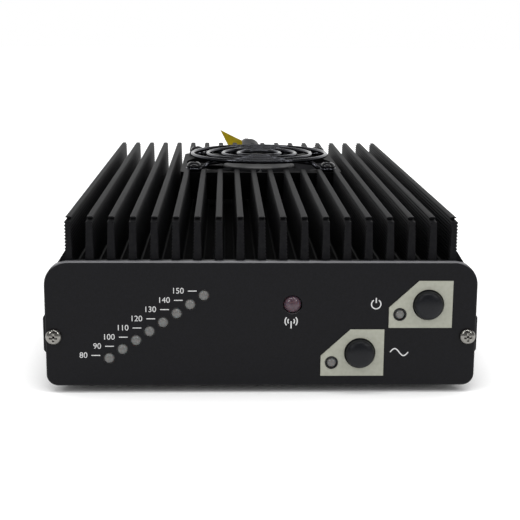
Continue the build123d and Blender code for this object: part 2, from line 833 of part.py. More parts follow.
export_step(fan_rotor.part, "parts/fan_rotor.step")

# Finger guard: eyelets lie on the frame, arms rise from them, and the rings are welded on top of the arms
eyelet_z = fan_top_z + guard_wire
arm_z = eyelet_z + guard_rise
ring_z = arm_z + 2 * guard_wire - guard_weld
outer_ring_radius = fan_bore_radius - guard_ring_inset
inner_ring_radius = outer_ring_radius - (guard_rings - 1) * guard_ring_step
eyelet_radius = fan_screw_radius + screw_gap + guard_wire
arm_end = fan_screw_spacing / sqrt(2) - eyelet_radius
arm_start = inner_ring_radius - guard_wire
arm_bend = outer_ring_radius + 2 * guard_wire
with BuildPart() as guard_arm:
    with BuildLine():
        FilletPolyline(
            (arm_start, 0, arm_z),
            (arm_bend, 0, arm_z),
            (arm_bend + guard_slope, 0, eyelet_z),
            (arm_end, 0, eyelet_z),
            radius=guard_bend,
        )
    with BuildSketch(Plane((arm_start, 0, arm_z), z_dir=(1, 0, 0))):
        Circle(guard_wire)
    sweep()
with BuildPart() as fan_guard:
    with Locations((fan_offset_x, fan_y)):
        with PolarLocations(0, 4, start_angle=45):
            add(guard_arm.part)
    with Locations((fan_offset_x, fan_y, eyelet_z)):
        with GridLocations(fan_screw_spacing, fan_screw_spacing, 2, 2):
            Torus(eyelet_radius, guard_wire)
    with Locations((fan_offset_x, fan_y, ring_z)):
        for i in range(guard_rings):
            Torus(outer_ring_radius - i * guard_ring_step, guard_wire)
fan_guard.part.label = "fan_guard"
export_step(fan_guard.part, "parts/fan_guard.step")

fan_screw_length = 2 * guard_wire + fan_thickness + fan_seat_z - base_top_z + fan_screw_bite
with BuildPart() as fan_screws:
    with Locations((fan_offset_x, fan_y, fan_top_z + 2 * guard_wire)):
        with GridLocations(fan_screw_spacing, fan_screw_spacing, 2, 2):
            add(pan_screw(fan_screw_radius, fan_screw_length, fan_screw_head_radius, fan_screw_head_height))
fan_screws.part.label = "fan_screws"
export_step(fan_screws.part, "parts/fan_screws.step")

with BuildPart() as fan_leads:
    with BuildSketch(Plane.XY.offset(board_top_z)):
        with Locations((fan_offset_x, fan_lead_y)):
            with GridLocations(fan_lead_spacing, 1, 2, 1):
                Circle(fan_lead_radius)
    extrude(amount=fan_seat_z + motor_plate_thickness / 2 - board_top_z)
fan_leads.part.label = "fan_leads"
export_step(fan_leads.part, "parts/fan_leads.step")

with BuildPart() as fan_lead_grommet:
    with BuildSketch(Plane.XY.offset(base_low_z - grommet_lip)):
        with Locations((fan_offset_x, fan_lead_y)):
            Circle(grommet_radius + grommet_lip)
    extrude(amount=grommet_lip)
    with BuildSketch(Plane.XY.offset(base_low_z)):
        with Locations((fan_offset_x, fan_lead_y)):
            Circle(grommet_radius)
    extrude(amount=base_thickness)
    with BuildSketch(Plane.XY.offset(base_low_z - grommet_lip)):
        with Locations((fan_offset_x, fan_lead_y)):
            Circle(grommet_bore)
    extrude(amount=base_thickness + grommet_lip, mode=Mode.SUBTRACT)
fan_lead_grommet.part.label = "fan_lead_grommet"
export_step(fan_lead_grommet.part, "parts/fan_lead_grommet.step")

# Rear panel with two coaxial sockets and the cord's strain relief
cord_z = panel_mid_z + cord_rise
socket_places = [(-socket_offset_x, panel_mid_z), (socket_offset_x, panel_mid_z)]
socket_hole_radius = socket_barrel_radius + socket_hole_gap
with BuildPart() as rear_panel:
    with BuildSketch(front_plane(rear_face_y)) as outline:
        panel_outline(outline)
        with Locations(*socket_places):
            Circle(socket_hole_radius, mode=Mode.SUBTRACT)
            with GridLocations(socket_hole_spacing, socket_hole_spacing, 2, 2):
                Circle(socket_screw_radius + thread_gap, mode=Mode.SUBTRACT)
        with Locations((cord_offset_x, cord_z)):
            Circle(relief_neck_radius + thread_gap, mode=Mode.SUBTRACT)
        with Locations((-screw_x, screw_z), (screw_x, screw_z)):
            Circle(panel_screw_radius + screw_gap, mode=Mode.SUBTRACT)
    extrude(amount=panel_thickness)
    rear_rim = rear_panel.faces().sort_by(Axis.Y)[-1].outer_wire().edges()
    chamfer(rear_rim, panel_edge_break)
rear_panel.part.label = "rear_panel"
export_step(rear_panel.part, "parts/rear_panel.step")

contact_end_y = rear_face_y + socket_reach - contact_recess
contact_tail_y = case_rear_y - contact_tail
insulator_tail_y = case_rear_y - insulator_tail
for name, place in zip(("radio", "antenna"), socket_places):
    with BuildPart() as socket_shell:
        with BuildSketch(front_plane(rear_face_y)):
            with Locations(place):
                RectangleRounded(socket_flange, socket_flange, socket_flange_round)
                with GridLocations(socket_hole_spacing, socket_hole_spacing, 2, 2):
                    Circle(socket_screw_radius + screw_gap, mode=Mode.SUBTRACT)
        extrude(amount=-socket_flange_thickness)
        with BuildSketch(front_plane(rear_face_y - panel_thickness - socket_spigot)):
            with Locations(place):
                Circle(socket_barrel_radius)
        extrude(amount=-(panel_thickness + socket_spigot + socket_reach))
        with BuildSketch(front_plane(rear_face_y - panel_thickness - socket_spigot)):
            with Locations(place):
                Circle(socket_bore_radius)
        extrude(amount=-(panel_thickness + socket_spigot + socket_reach), mode=Mode.SUBTRACT)
    socket_shell.part.label = f"{name}_socket_shell"
    export_step(socket_shell.part, f"parts/{name}_socket_shell.step")

    with BuildPart() as socket_insulator:
        with BuildSketch(front_plane(insulator_tail_y)):
            with Locations(place):
                Circle(socket_bore_radius - thread_gap)
                Circle(contact_radius + thread_gap, mode=Mode.SUBTRACT)
        extrude(amount=-(rear_face_y + socket_reach - insulator_recess - insulator_tail_y))
    socket_insulator.part.label = f"{name}_socket_insulator"
    export_step(socket_insulator.part, f"parts/{name}_socket_insulator.step")

    with BuildPart() as socket_contact:
        with BuildSketch(front_plane(contact_tail_y)):
            with Locations(place):
                Circle(contact_radius)
        extrude(amount=-(contact_end_y - contact_tail_y))
        with BuildSketch(front_plane(contact_end_y)):
            with Locations(place):
                Circle(contact_bore_radius)
        extrude(amount=contact_bore_depth, mode=Mode.SUBTRACT)
    socket_contact.part.label = f"{name}_socket_contact"
    export_step(socket_contact.part, f"parts/{name}_socket_contact.step")

socket_screw = pan_screw(
    socket_screw_radius, socket_screw_length, socket_screw_head_radius, socket_screw_head_height
)
half_spacing = socket_hole_spacing / 2
with BuildPart() as socket_screws:
    for x, z in socket_places:
        for dx in (-half_spacing, half_spacing):
            for dz in (-half_spacing, half_spacing):
                flange_y = rear_face_y + socket_flange_thickness
                with Locations(Location((x + dx, flange_y, z + dz), (-90, 0, 0))):
                    add(socket_screw)
socket_screws.part.label = "socket_screws"
export_step(socket_screws.part, "parts/socket_screws.step")

with BuildPart() as socket_wires:
    with BuildSketch(front_plane(contact_tail_y)):
        with Locations(*socket_places):
            Circle(socket_wire_radius)
    extrude(amount=contact_tail_y - relay_y - relay_size[1] / 2)
socket_wires.part.label = "socket_wires"
export_step(socket_wires.part, "parts/socket_wires.step")

# Strain relief: a bush snapped into the panel, drawn out to a taper
with BuildPart() as strain_relief:
    with Locations(Location((cord_offset_x, case_rear_y - relief_lip_thickness, cord_z), (-90, 0, 0))):
        Cylinder(relief_lip_radius, relief_lip_thickness, align=standing)
    with Locations(Location((cord_offset_x, case_rear_y, cord_z), (-90, 0, 0))):
        Cylinder(relief_neck_radius, panel_thickness, align=standing)
    with Locations(Location((cord_offset_x, rear_face_y, cord_z), (-90, 0, 0))):
        Cylinder(relief_flange_radius, relief_flange_thickness, align=standing)
        Cone(relief_neck_radius, relief_end_radius, relief_length, align=standing)
strain_relief.part.label = "strain_relief"
export_step(strain_relief.part, "parts/strain_relief.step")

with BuildPart() as terminal_block:
    with Locations((cord_offset_x, terminal_y, board_low_z)):
        Box(*terminal_size, align=hanging)
terminal_block.part.label = "terminal_block"
export_step(terminal_block.part, "parts/terminal_block.step")

with BuildPart() as cord_cores:
    with BuildSketch(front_plane(case_rear_y - relief_lip_thickness)):
        with Locations((cord_offset_x, cord_z)):
            with GridLocations(core_spacing, 1, 2, 1):
                Circle(core_radius)
    extrude(amount=case_rear_y - relief_lip_thickness - terminal_y - terminal_size[1] / 2)
cord_cores.part.label = "cord_cores"
export_step(cord_cores.part, "parts/cord_cores.step")

# Power cord: up and over behind the fins, then down into its coil
turn_pitch = 2 * cord_radius + turn_gap
low_layer_z = tie_thickness + tie_gap + cord_radius
top_layer_z = low_layer_z + turn_pitch
cord_exit = Vector(cord_offset_x, rear_face_y + relief_length, cord_z)
landing = top_layer_z - cord_z
cord_route = [
    cord_exit + Vector(*step)
    for step in (
        (0.0, 0.0, 0.0),
        (0.0, 16.0, 0.0),
        (-0.8, 42.0, 10.0),
        (-1.5, 70.0, 15.6),
        (-3.8, 97.0, 14.4),
        (8.3, 121.0, 5.4),
        (28.2, 133.0, -5.6),
        (52.2, 131.5, landing),
        (70.6, 117.6, landing),
        (77.3, 95.6, landing),
    )
]


def bend_radii(points):
    # Radius of each bend: as large as the shorter of its two runs allows
    radii = []
    for before, here, after in zip(points, points[1:], points[2:]):
        turn = (here - before).get_angle(after - here)
        shorter_run = min((here - before).length, (after - here).length)
        radii.append(bend_share * shorter_run / tan(radians(turn) / 2))
    return radii


cord_bends = bend_radii(cord_route)
with BuildPart() as power_cord:
    with BuildLine() as cord_path:
        FilletPolyline(*cord_route, radius=cord_bends)
    with BuildSketch(Plane(cord_route[0], z_dir=cord_route[1] - cord_route[0])):
        Circle(cord_radius)
    sweep()
power_cord.part.label = "power_cord"
export_step(power_cord.part, "parts/power_cord.step")
print("cord bend radii", [round(radius, 1) for radius in cord_bends])
cord_wire = cord_path.wire()
cord_length = cord_wire.length
cord_section = pi * cord_radius**2
print("cord volume over section times length", power_cord.part.volume / (cord_section * cord_length))

# Coil, clockwise: in on the top layer, down a layer in the half turn where it reverses, out on the bottom
heading = (cord_route[-1] - cord_route[-2]).normalized()
coil_start = cord_route[-1] + heading * (2 * cord_radius)
start_angle = atan2(heading.X, -heading.Y)
coil_middle = coil_start - Vector(cos(start_angle), sin(start_angle)) * coil_radius
turnaround = pi * coil_turns


def coil_point(angle):
    # Cord's middle after the coil has turned by this angle
    off = angle - turnaround
    radius = coil_radius - turn_pitch * (turnaround - abs(off)) / (2 * pi)
    drop = 0.5 + 0.5 * sin(max(-pi / 2, min(pi / 2, off)))
    direction = Vector(cos(start_angle - angle), sin(start_angle - angle))
    return Vector(coil_middle.X, coil_middle.Y, top_layer_z - drop * turn_pitch) + direction * radius


def coil_tangent(angle):
    # Direction of the cord there, level and square to the radius where the coil starts and reverses
    if angle == 0:
        return heading
    step = 0.001
    return (coil_point(angle + step) - coil_point(angle - step)).normalized()


def biarc(start, leaving, end, arriving):
    # Two arcs that meet smoothly between two points with given directions
    chord = end - start
    both = leaving + arriving
    spread = 1 - leaving.dot(arriving)
    along = chord.dot(both)
    reach = (sqrt(along**2 + 2 * spread * chord.dot(chord)) - along) / (2 * spread)
    middle = (start + end + (leaving - arriving) * reach) * 0.5
    TangentArc(start, middle, tangent=leaving)
    TangentArc(middle, end, tangent=chord - both * reach)


quarter_turns = [i * pi / 2 for i in range(int(round(4 * coil_turns)) + 1)]
coil_end = coil_point(quarter_turns[-1])
coil_end_heading = coil_tangent(quarter_turns[-1])
plug_seat = coil_end + coil_end_heading * coil_tail
with BuildPart() as power_cord_coil:
    with BuildLine() as coil_path:
        Line(cord_route[-1], coil_start)
        for here, there in zip(quarter_turns, quarter_turns[1:]):
            biarc(coil_point(here), coil_tangent(here), coil_point(there), coil_tangent(there))
        Line(coil_end, plug_seat)
    with BuildSketch(Plane(cord_route[-1], z_dir=heading)):
        Circle(cord_radius)
    sweep()
power_cord_coil.part.label = "power_cord_coil"
export_step(power_cord_coil.part, "parts/power_cord_coil.step")
coil_wire = coil_path.wire()
coil_length = coil_wire.length
print("coil volume over section times length", power_cord_coil.part.volume / (cord_section * coil_length))
print("cord length", round(cord_length + coil_length, 1))


def least_gap():
    # Smallest space between stretches of the cord that lie over a third of a turn apart along it
    free_steps = int(cord_length)
    coil_steps = int(coil_length)
    points = [cord_wire @ (i / free_steps) for i in range(free_steps)]
    points += [coil_wire @ (i / coil_steps) for i in range(coil_steps + 1)]
    apart = int(2 * pi * coil_radius / 3)
    near = 6 * cord_radius
    gaps = [
        (there - here).length
        for i, here in enumerate(points)
        for there in points[i + apart:]
        if abs(there.X - here.X) + abs(there.Y - here.Y) < near
    ]
    return min(gaps) - 2 * cord_radius


print("least gap of the cord to itself", round(least_gap(), 2))

# Tie round the coil where both layers' turns lie above each other
tie_angle = pi / 2
tie_radius = coil_radius - turn_pitch * (tie_angle / pi + 1) / 2
tie_direction = Vector(cos(start_angle - tie_angle), sin(start_angle - tie_angle))
tie_z = (low_layer_z + top_layer_z) / 2
tie_middle = Vector(coil_middle.X, coil_middle.Y, tie_z) + tie_direction * tie_radius
tie_inside = turn_pitch + 2 * cord_radius + 2 * tie_gap
tie_outside = tie_inside + 2 * tie_thickness
with BuildPart() as coil_tie:
    with BuildSketch(Plane(tie_middle, x_dir=tie_direction, z_dir=tie_direction.cross(Vector(0, 0, -1)))):
        RectangleRounded(tie_outside + 2 * tie_gap, tie_outside, cord_radius)
        tie_bend = cord_radius - tie_thickness
        RectangleRounded(tie_inside + 2 * tie_gap, tie_inside, tie_bend, mode=Mode.SUBTRACT)
    extrude(amount=tie_width / 2, both=True)
coil_tie.part.label = "coil_tie"
export_step(coil_tie.part, "parts/coil_tie.step")

# Flag tag folded round the cord just before its highest point
tag_run = cord_route[3] - cord_route[2]
tag_spot = cord_route[2] + tag_run * tag_share
tag_axis = tag_run.normalized()
tag_left = Vector(0, 0, 1).cross(tag_axis).normalized()
tag_out = tag_left * cos(radians(tag_tilt)) + tag_axis.cross(tag_left) * sin(radians(tag_tilt))
tag_bore = cord_radius + tag_gap
with BuildPart() as cord_tag:
    with BuildSketch(Plane(tag_spot, x_dir=tag_out, z_dir=tag_axis)):
        Circle(tag_bore + tag_thickness)
        with Locations((tag_bore, 0)):
            Rectangle(tag_reach - tag_bore, 2 * tag_thickness, align=(Align.MIN, Align.CENTER))
        Circle(tag_bore, mode=Mode.SUBTRACT)
    extrude(amount=tag_length / 2, both=True)
cord_tag.part.label = "cord_tag"
export_step(cord_tag.part, "parts/cord_tag.step")

# Two-pole plug on the cord's far end, lying on the table
plug_plane = Plane(plug_seat, x_dir=coil_end_heading.cross(Vector(0, 0, 1)), z_dir=coil_end_heading)
plug_face = plug_plane.offset(plug_collar_length + plug_length)
with BuildPart() as cord_plug:
    with BuildSketch(plug_plane):
        Circle(cord_radius + tie_thickness)
    with BuildSketch(plug_plane.offset(plug_collar_length)):
        Circle(plug_collar_radius)
    loft()
    with BuildSketch(plug_plane.offset(plug_collar_length)):
        RectangleRounded(plug_width, 2 * low_layer_z, plug_round)
    extrude(amount=plug_length)
    with BuildSketch(plug_face):
        with GridLocations(plug_pin_spacing, 1, 2, 1):
            Circle(plug_pin_radius + thread_gap)
    extrude(amount=-plug_pin_seat, mode=Mode.SUBTRACT)
cord_plug.part.label = "cord_plug"
export_step(cord_plug.part, "parts/cord_plug.step")

with BuildPart() as plug_contacts:
    with BuildSketch(plug_face.offset(-plug_pin_seat)):
        with GridLocations(plug_pin_spacing, 1, 2, 1):
            Circle(plug_pin_radius)
    extrude(amount=plug_pin_length)
plug_contacts.part.label = "plug_contacts"
export_step(plug_contacts.part, "parts/plug_contacts.step")

print("panel middle z", round(panel_mid_z, 3), "fin top z", round(fin_top_z, 3))
print("panel front y", round(panel_front_y, 3), "rear face y", round(rear_face_y, 3))
print("fan axis", fan_offset_x, round(fan_y, 3), "cord z", round(cord_z, 3))
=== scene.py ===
import math
from functools import partial

import bmesh
import bpy
from mathutils import Matrix, Vector


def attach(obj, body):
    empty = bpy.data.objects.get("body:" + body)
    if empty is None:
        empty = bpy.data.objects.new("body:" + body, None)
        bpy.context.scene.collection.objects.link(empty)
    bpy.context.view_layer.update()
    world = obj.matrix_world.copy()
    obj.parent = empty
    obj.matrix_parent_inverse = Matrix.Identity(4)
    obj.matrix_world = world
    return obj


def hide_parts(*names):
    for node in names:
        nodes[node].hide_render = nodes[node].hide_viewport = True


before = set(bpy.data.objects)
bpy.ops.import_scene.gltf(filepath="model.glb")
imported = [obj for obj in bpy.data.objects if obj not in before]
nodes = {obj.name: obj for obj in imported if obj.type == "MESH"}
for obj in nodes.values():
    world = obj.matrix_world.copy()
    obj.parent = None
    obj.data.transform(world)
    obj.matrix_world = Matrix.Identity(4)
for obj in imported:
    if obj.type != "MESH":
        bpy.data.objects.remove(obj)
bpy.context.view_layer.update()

scene = bpy.context.scene
scene.view_settings.view_transform = "Standard"
mm = 0.001
zero = (0.0, 0.0, 0.0)
towardFront = (math.pi / 2, 0.0, 0.0)  # turns that aim the top of a shape
towardRear = (-math.pi / 2, 0.0, 0.0)


def linear(hexColour):
    # sRGB hex to the linear colour that shaders read
    channels = [int(hexColour[i:i + 2], 16) / 255 for i in (1, 3, 5)]
    return (*(c / 12.92 if c <= 0.04045 else ((c + 0.055) / 1.055) ** 2.4 for c in channels), 1.0)


def addNode(tree, kind, inputs=None, **settings):
    # One node with its settings; an input is a value, a socket, a node whose first output feeds it,
    # or a list of nodes that are joined there
    node = tree.nodes.new(kind)
    for name, value in settings.items():
        setattr(node, name, value)
    for key, given in (inputs or {}).items():
        for value in given if isinstance(given, list) else [given]:
            if isinstance(value, bpy.types.Node):
                value = value.outputs[0]
            if isinstance(value, bpy.types.NodeSocket):
                tree.links.new(value, node.inputs[key])
            else:
                node.inputs[key].default_value = value
    return node


def newMaterial(name, **shaderValues):
    # Empty material with its shader, whose constant values go straight on its sockets
    material = bpy.data.materials.new(name)
    material.use_nodes = True
    tree = material.node_tree
    shader = tree.nodes["Principled BSDF"]
    for key, value in shaderValues.items():
        shader.inputs[key.replace("_", " ")].default_value = value
    return material, tree, shader


grainNoise = {"detail": 3.0, "darkEnd": 0.3, "lightEnd": 0.7}  # noise levels of the two shades
dieLines = (1, 0.03, 1)  # grain drawn out along an extrusion


def grainedMaterial(name, dark, light, grain, rough, bump, stretch=(1, 1, 1), specular=0.5, **shaderValues):
    # Two close shades, a roughness range and a bump that all follow one grain, sized in mm;
    # grit and die lines that are too fine for the render are drawn as coarse as they need to show
    material, tree, shader = newMaterial(name, Specular_IOR_Level=specular, **shaderValues)
    add = partial(addNode, tree)
    place = add("ShaderNodeTexCoord")
    mapped = add("ShaderNodeMapping", {"Vector": place.outputs["Object"], "Scale": stretch})
    noise = add(
        "ShaderNodeTexNoise", {"Vector": mapped, "Scale": 1 / (grain * mm), "Detail": grainNoise["detail"]}
    )
    shades = add("ShaderNodeValToRGB", {"Fac": noise})
    ends = ((grainNoise["darkEnd"], dark), (grainNoise["lightEnd"], light))
    for element, (level, colour) in zip(shades.color_ramp.elements, ends):
        element.position = level
        element.color = linear(colour)
    roughness = add("ShaderNodeMapRange", {"Value": noise, "To Min": rough[0], "To Max": rough[1]})
    relief = add("ShaderNodeBump", {"Height": noise, "Strength": 1.0, "Distance": bump * mm})
    tree.links.new(shades.outputs["Color"], shader.inputs["Base Color"])
    tree.links.new(roughness.outputs["Result"], shader.inputs["Roughness"])
    tree.links.new(relief.outputs["Normal"], shader.inputs["Normal"])
    return material


def newObject(name, data):
    # Object that holds this data, in the scene
    holder = bpy.data.objects.new(name, data)
    scene.collection.objects.link(holder)
    return holder


def addPiece(name, data, material, body, slot, *replaced):
    # A finished mesh or curve as a piece that rides on its body
    piece = newObject(name, data)
    if material:
        data.materials.clear()
        data.materials.append(material)
    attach(piece, body)
    if replaced:
        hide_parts(*replaced)
    return piece


def plainMesh(obj):
    # What an object's modifiers or curve give, as a mesh of its own
    bpy.context.view_layer.update()
    return bpy.data.meshes.new_from_object(obj.evaluated_get(bpy.context.evaluated_depsgraph_get()))


def growMesh(tree, sizes):
    # Runs a geometry tree with these named inputs and keeps the result as a plain mesh
    carrier = newObject(tree.name, bpy.data.meshes.new(tree.name))
    modifier = carrier.modifiers.new("grow", "NODES")
    modifier.node_group = tree
    for item in tree.interface.items_tree:
        if item.in_out == "INPUT" and item.name in sizes:
            modifier[item.identifier] = sizes[item.name]
    mesh = plainMesh(carrier)
    bpy.data.objects.remove(carrier)
    return mesh


def newTree(name, sizes):
    # Geometry tree with one named input for each size and a geometry output, and what adds its nodes
    tree = bpy.data.node_groups.new(name, "GeometryNodeTree")
    kinds = {float: "NodeSocketFloat", int: "NodeSocketInt", tuple: "NodeSocketVector"}
    for key, value in sizes.items():
        kind = kinds.get(type(value), "NodeSocketMaterial")
        tree.interface.new_socket(name=key, in_out="INPUT", socket_type=kind)
    tree.interface.new_socket(name="Geometry", in_out="OUTPUT", socket_type="NodeSocketGeometry")
    add = partial(addNode, tree)
    return tree, add, add("NodeGroupInput").outputs


def finishTree(tree, geometry, material):
    # Ends a tree that is drawn in mm: instances made real, in metres, with its material
    add = partial(addNode, tree)
    real = add("GeometryNodeRealizeInstances", {"Geometry": geometry})
    metres = add("GeometryNodeTransform", {"Geometry": real, "Scale": (mm, mm, mm)})
    painted = add("GeometryNodeSetMaterial", {"Geometry": metres, "Material": material})
    add("NodeGroupOutput", {"Geometry": painted})
    return tree


def finishRow(tree, size, shape, turn=zero):
    # Sets a shape out along an even row, then ends the tree
    add = partial(addNode, tree)
    row = add(
        "GeometryNodeMeshLine",
        {"Count": size["Count"], "Start Location": size["Start"], "Offset": size["Step"]},
    )
    placed = add("GeometryNodeInstanceOnPoints", {"Points": row, "Instance": shape, "Rotation": turn})
    return finishTree(tree, placed, size["Material"])


def keepMesh(bm, name):
    # What was built face by face, as a mesh
    mesh = bpy.data.meshes.new(name)
    bm.to_mesh(mesh)
    bm.free()
    return mesh


# Camera where the photograph was taken from
photoCamera = {
    "place": (-10.60, -425.07, 107.73),  # mm
    "yaw": 0.0312,
    "pitch": 0.2111,
    "roll": 0.0074,
    "lens": 80.43,
    "sensor": 36,
}
camera = newObject("camera", bpy.data.cameras.new("camera"))
camera.data.lens = photoCamera["lens"]
camera.data.sensor_width = photoCamera["sensor"]
camera.matrix_world = (
    Matrix.Translation(Vector(photoCamera["place"]) * mm)
    @ Matrix.Rotation(-photoCamera["yaw"], 4, "Z")
    @ Matrix.Rotation(math.pi / 2 - photoCamera["pitch"], 4, "X")
    @ Matrix.Rotation(photoCamera["roll"], 4, "Z")
)
scene.camera = camera
print("camera set")

# Soft PVC jacket, extruded: dull dark grey with a fine matt skin
cordJacket = grainedMaterial(
    "softPvcJacket", "#1b1b1c", "#262628", 1.6, (0.42, 0.55), 0.03, stretch=(1, 0.4, 1), specular=0.4
)

# Power cord: over behind the fins, then into its coil, all on one spline
cord = {
    "diameter": 6.5,
    "exit": (4.0, 114.8, 22.5),
    "route": (
        (0.0, 0.0, 0.0), (0.0, 16.0, 0.0), (-0.8, 42.0, 10.0), (-1.5, 70.0, 15.6), (-3.8, 97.0, 14.4),
        (8.3, 121.0, 5.4), (28.2, 133.0, -5.6), (52.2, 131.5, -11.15), (70.6, 117.6, -11.15),
        (77.3, 95.6, -11.15),
    ),
    "lead": 6.5,  # straight run into the coil
    "coilRadius": 40.0,
    "coilTurns": 3.5,
    "turnPitch": 7.1,
    "pointsPerTurn": 16,
    "tail": 22.0,
    "length": 992.7,
}


def makeCord():
    exitPoint = Vector(cord["exit"])
    points = [exitPoint + Vector(step) for step in cord["route"]]
    heading = (points[-1] - points[-2]).normalized()
    coilStart = points[-1] + heading * cord["lead"]
    startAngle = math.atan2(heading.x, -heading.y)
    middle = coilStart - Vector((math.cos(startAngle), math.sin(startAngle), 0)) * cord["coilRadius"]
    turnaround = math.pi * cord["coilTurns"]
    pointCount = int(cord["coilTurns"] * cord["pointsPerTurn"])
    outward = 1 / math.cos(math.pi / cord["pointsPerTurn"])  # so the line keeps the coil's radius
    # Winds inward, drops by one layer and winds outward again
    for i in range(pointCount + 1):
        angle = 2 * turnaround * i / pointCount
        off = angle - turnaround
        radius = cord["coilRadius"] - cord["turnPitch"] * (turnaround - abs(off)) / (2 * math.pi)
        drop = 0.5 + 0.5 * math.sin(max(-math.pi / 2, min(math.pi / 2, off)))
        around = Vector((math.cos(startAngle - angle), math.sin(startAngle - angle), 0))
        lower = Vector((0, 0, drop * cord["turnPitch"]))
        points.append(middle + around * radius * outward - lower)
    leaving = Vector((-around.y, around.x, 0)) * -1
    points.append(middle + around * radius + leaving * cord["tail"] - lower)
    curve = bpy.data.curves.new("powerCord", "CURVE")
    curve.dimensions = "3D"
    spline = curve.splines.new("NURBS")
    spline.points.add(len(points) - 1)
    for place, point in zip(spline.points, points):
        place.co = (*(point * mm), 1)
    spline.order_u = 3
    spline.use_endpoint_u = True
    spline.resolution_u = 10
    curve.bevel_depth = cord["diameter"] / 2 * mm
    curve.bevel_resolution = 5
    curve.use_fill_caps = True
    return addPiece("powerCord", curve, cordJacket, "case", "cord_grey", "power_cord", "power_cord_coil")


powerCord = makeCord()
print("cord laid")

# Anodised aluminium, extruded: deep matt black whose faint die lines catch grazing light
anodisedBlack = grainedMaterial(
    "anodisedExtrusion", "#18181a", "#1f1f20", 0.9, (0.36, 0.44), 0.02, dieLines, specular=0.015
)

# The same anodising on the base, painted darker and duller than the fins as shade between them: dead matt
# black
valleyShadeBlack = grainedMaterial(
    "valleyShadeExtrusion", "#121213", "#181819", 0.9, (0.6, 0.7), 0.02, dieLines, specular=0.01
)

# Anodised aluminium of the tray, drawn through another die: satin black, a little shinier
trayBlack = grainedMaterial(
    "anodisedTray", "#161618", "#1d1d1f", 0.9, (0.3, 0.4), 0.02, dieLines, specular=0.12
)

# Heat sink: serrated fins grown by a tree, on the base with its shoulders and skirts
sinkSizes = {
    "Fin Count": 19,
    "Fin Pitch": 6.1,
    "Height": 14.6,
    "Root Width": 2.7,
    "Tip Width": 1.9,
    "Root Round": 0.5,
    "Tip Round": 0.25,
    "Serration Pitch": 0.95,
    "Serration Depth": 0.25,
    "Outer Depth": 0.42,  # coarser teeth on the outermost faces
    "Rows": 124,
    "Base Top": 36.0,
    "Front": -102.2,
    "Rear": 91.8,
    "Slot Low": 13.55,  # saw cut across both ends, under a thin lip
    "Slot Top": 14.15,
    "Slot Depth": 4.0,
    "Lip Back": 2.4,
    "Outer Half": 0.9,  # outermost fins stand upright on their outer side
    "Pocket First": 5,  # fins that the fan's pocket cuts, counted from the left
    "Pocket Last": 14,
    "Pocket Front": 1.5,
    "Pocket Rear": 63.1,
    "Pocket Height": 3.2,
    "Material": anodisedBlack,
}
sharedSizes = ("Height", "Root Width", "Tip Width", "Root Round", "Tip Round", "Serration Pitch")
sharedSizes += ("Serration Depth", "Outer Depth", "Rows", "Slot Low", "Slot Top", "Slot Depth", "Lip Back")
finSizes = {
    **{name: sinkSizes[name] for name in sharedSizes},
    "Cut Height": sinkSizes["Height"],
    "Left Half": 0.0,
    "Right Half": 0.0,
    "From": sinkSizes["Front"],
    "To": sinkSizes["Rear"],
    "Front Cut": 1.0,  # 1 where that end has the saw cut
    "Rear Cut": 1.0,
}


def roundOff(add, radius, past):
    # Width that a quarter circle adds or takes away, this far past its start
    past = add("ShaderNodeMath", {0: past, 1: 0.0}, operation="MAXIMUM")
    pastSquare = add("ShaderNodeMath", {0: past, 1: past}, operation="MULTIPLY")
    square = add("ShaderNodeMath", {0: radius, 1: radius}, operation="MULTIPLY")
    chord = add("ShaderNodeMath", {0: square, 1: pastSquare}, operation="SUBTRACT")
    chord = add("ShaderNodeMath", {0: chord, 1: 0.0}, operation="MAXIMUM")
    chord = add("ShaderNodeMath", {0: chord}, operation="SQRT")
    return add("ShaderNodeMath", {0: radius, 1: chord}, operation="SUBTRACT")


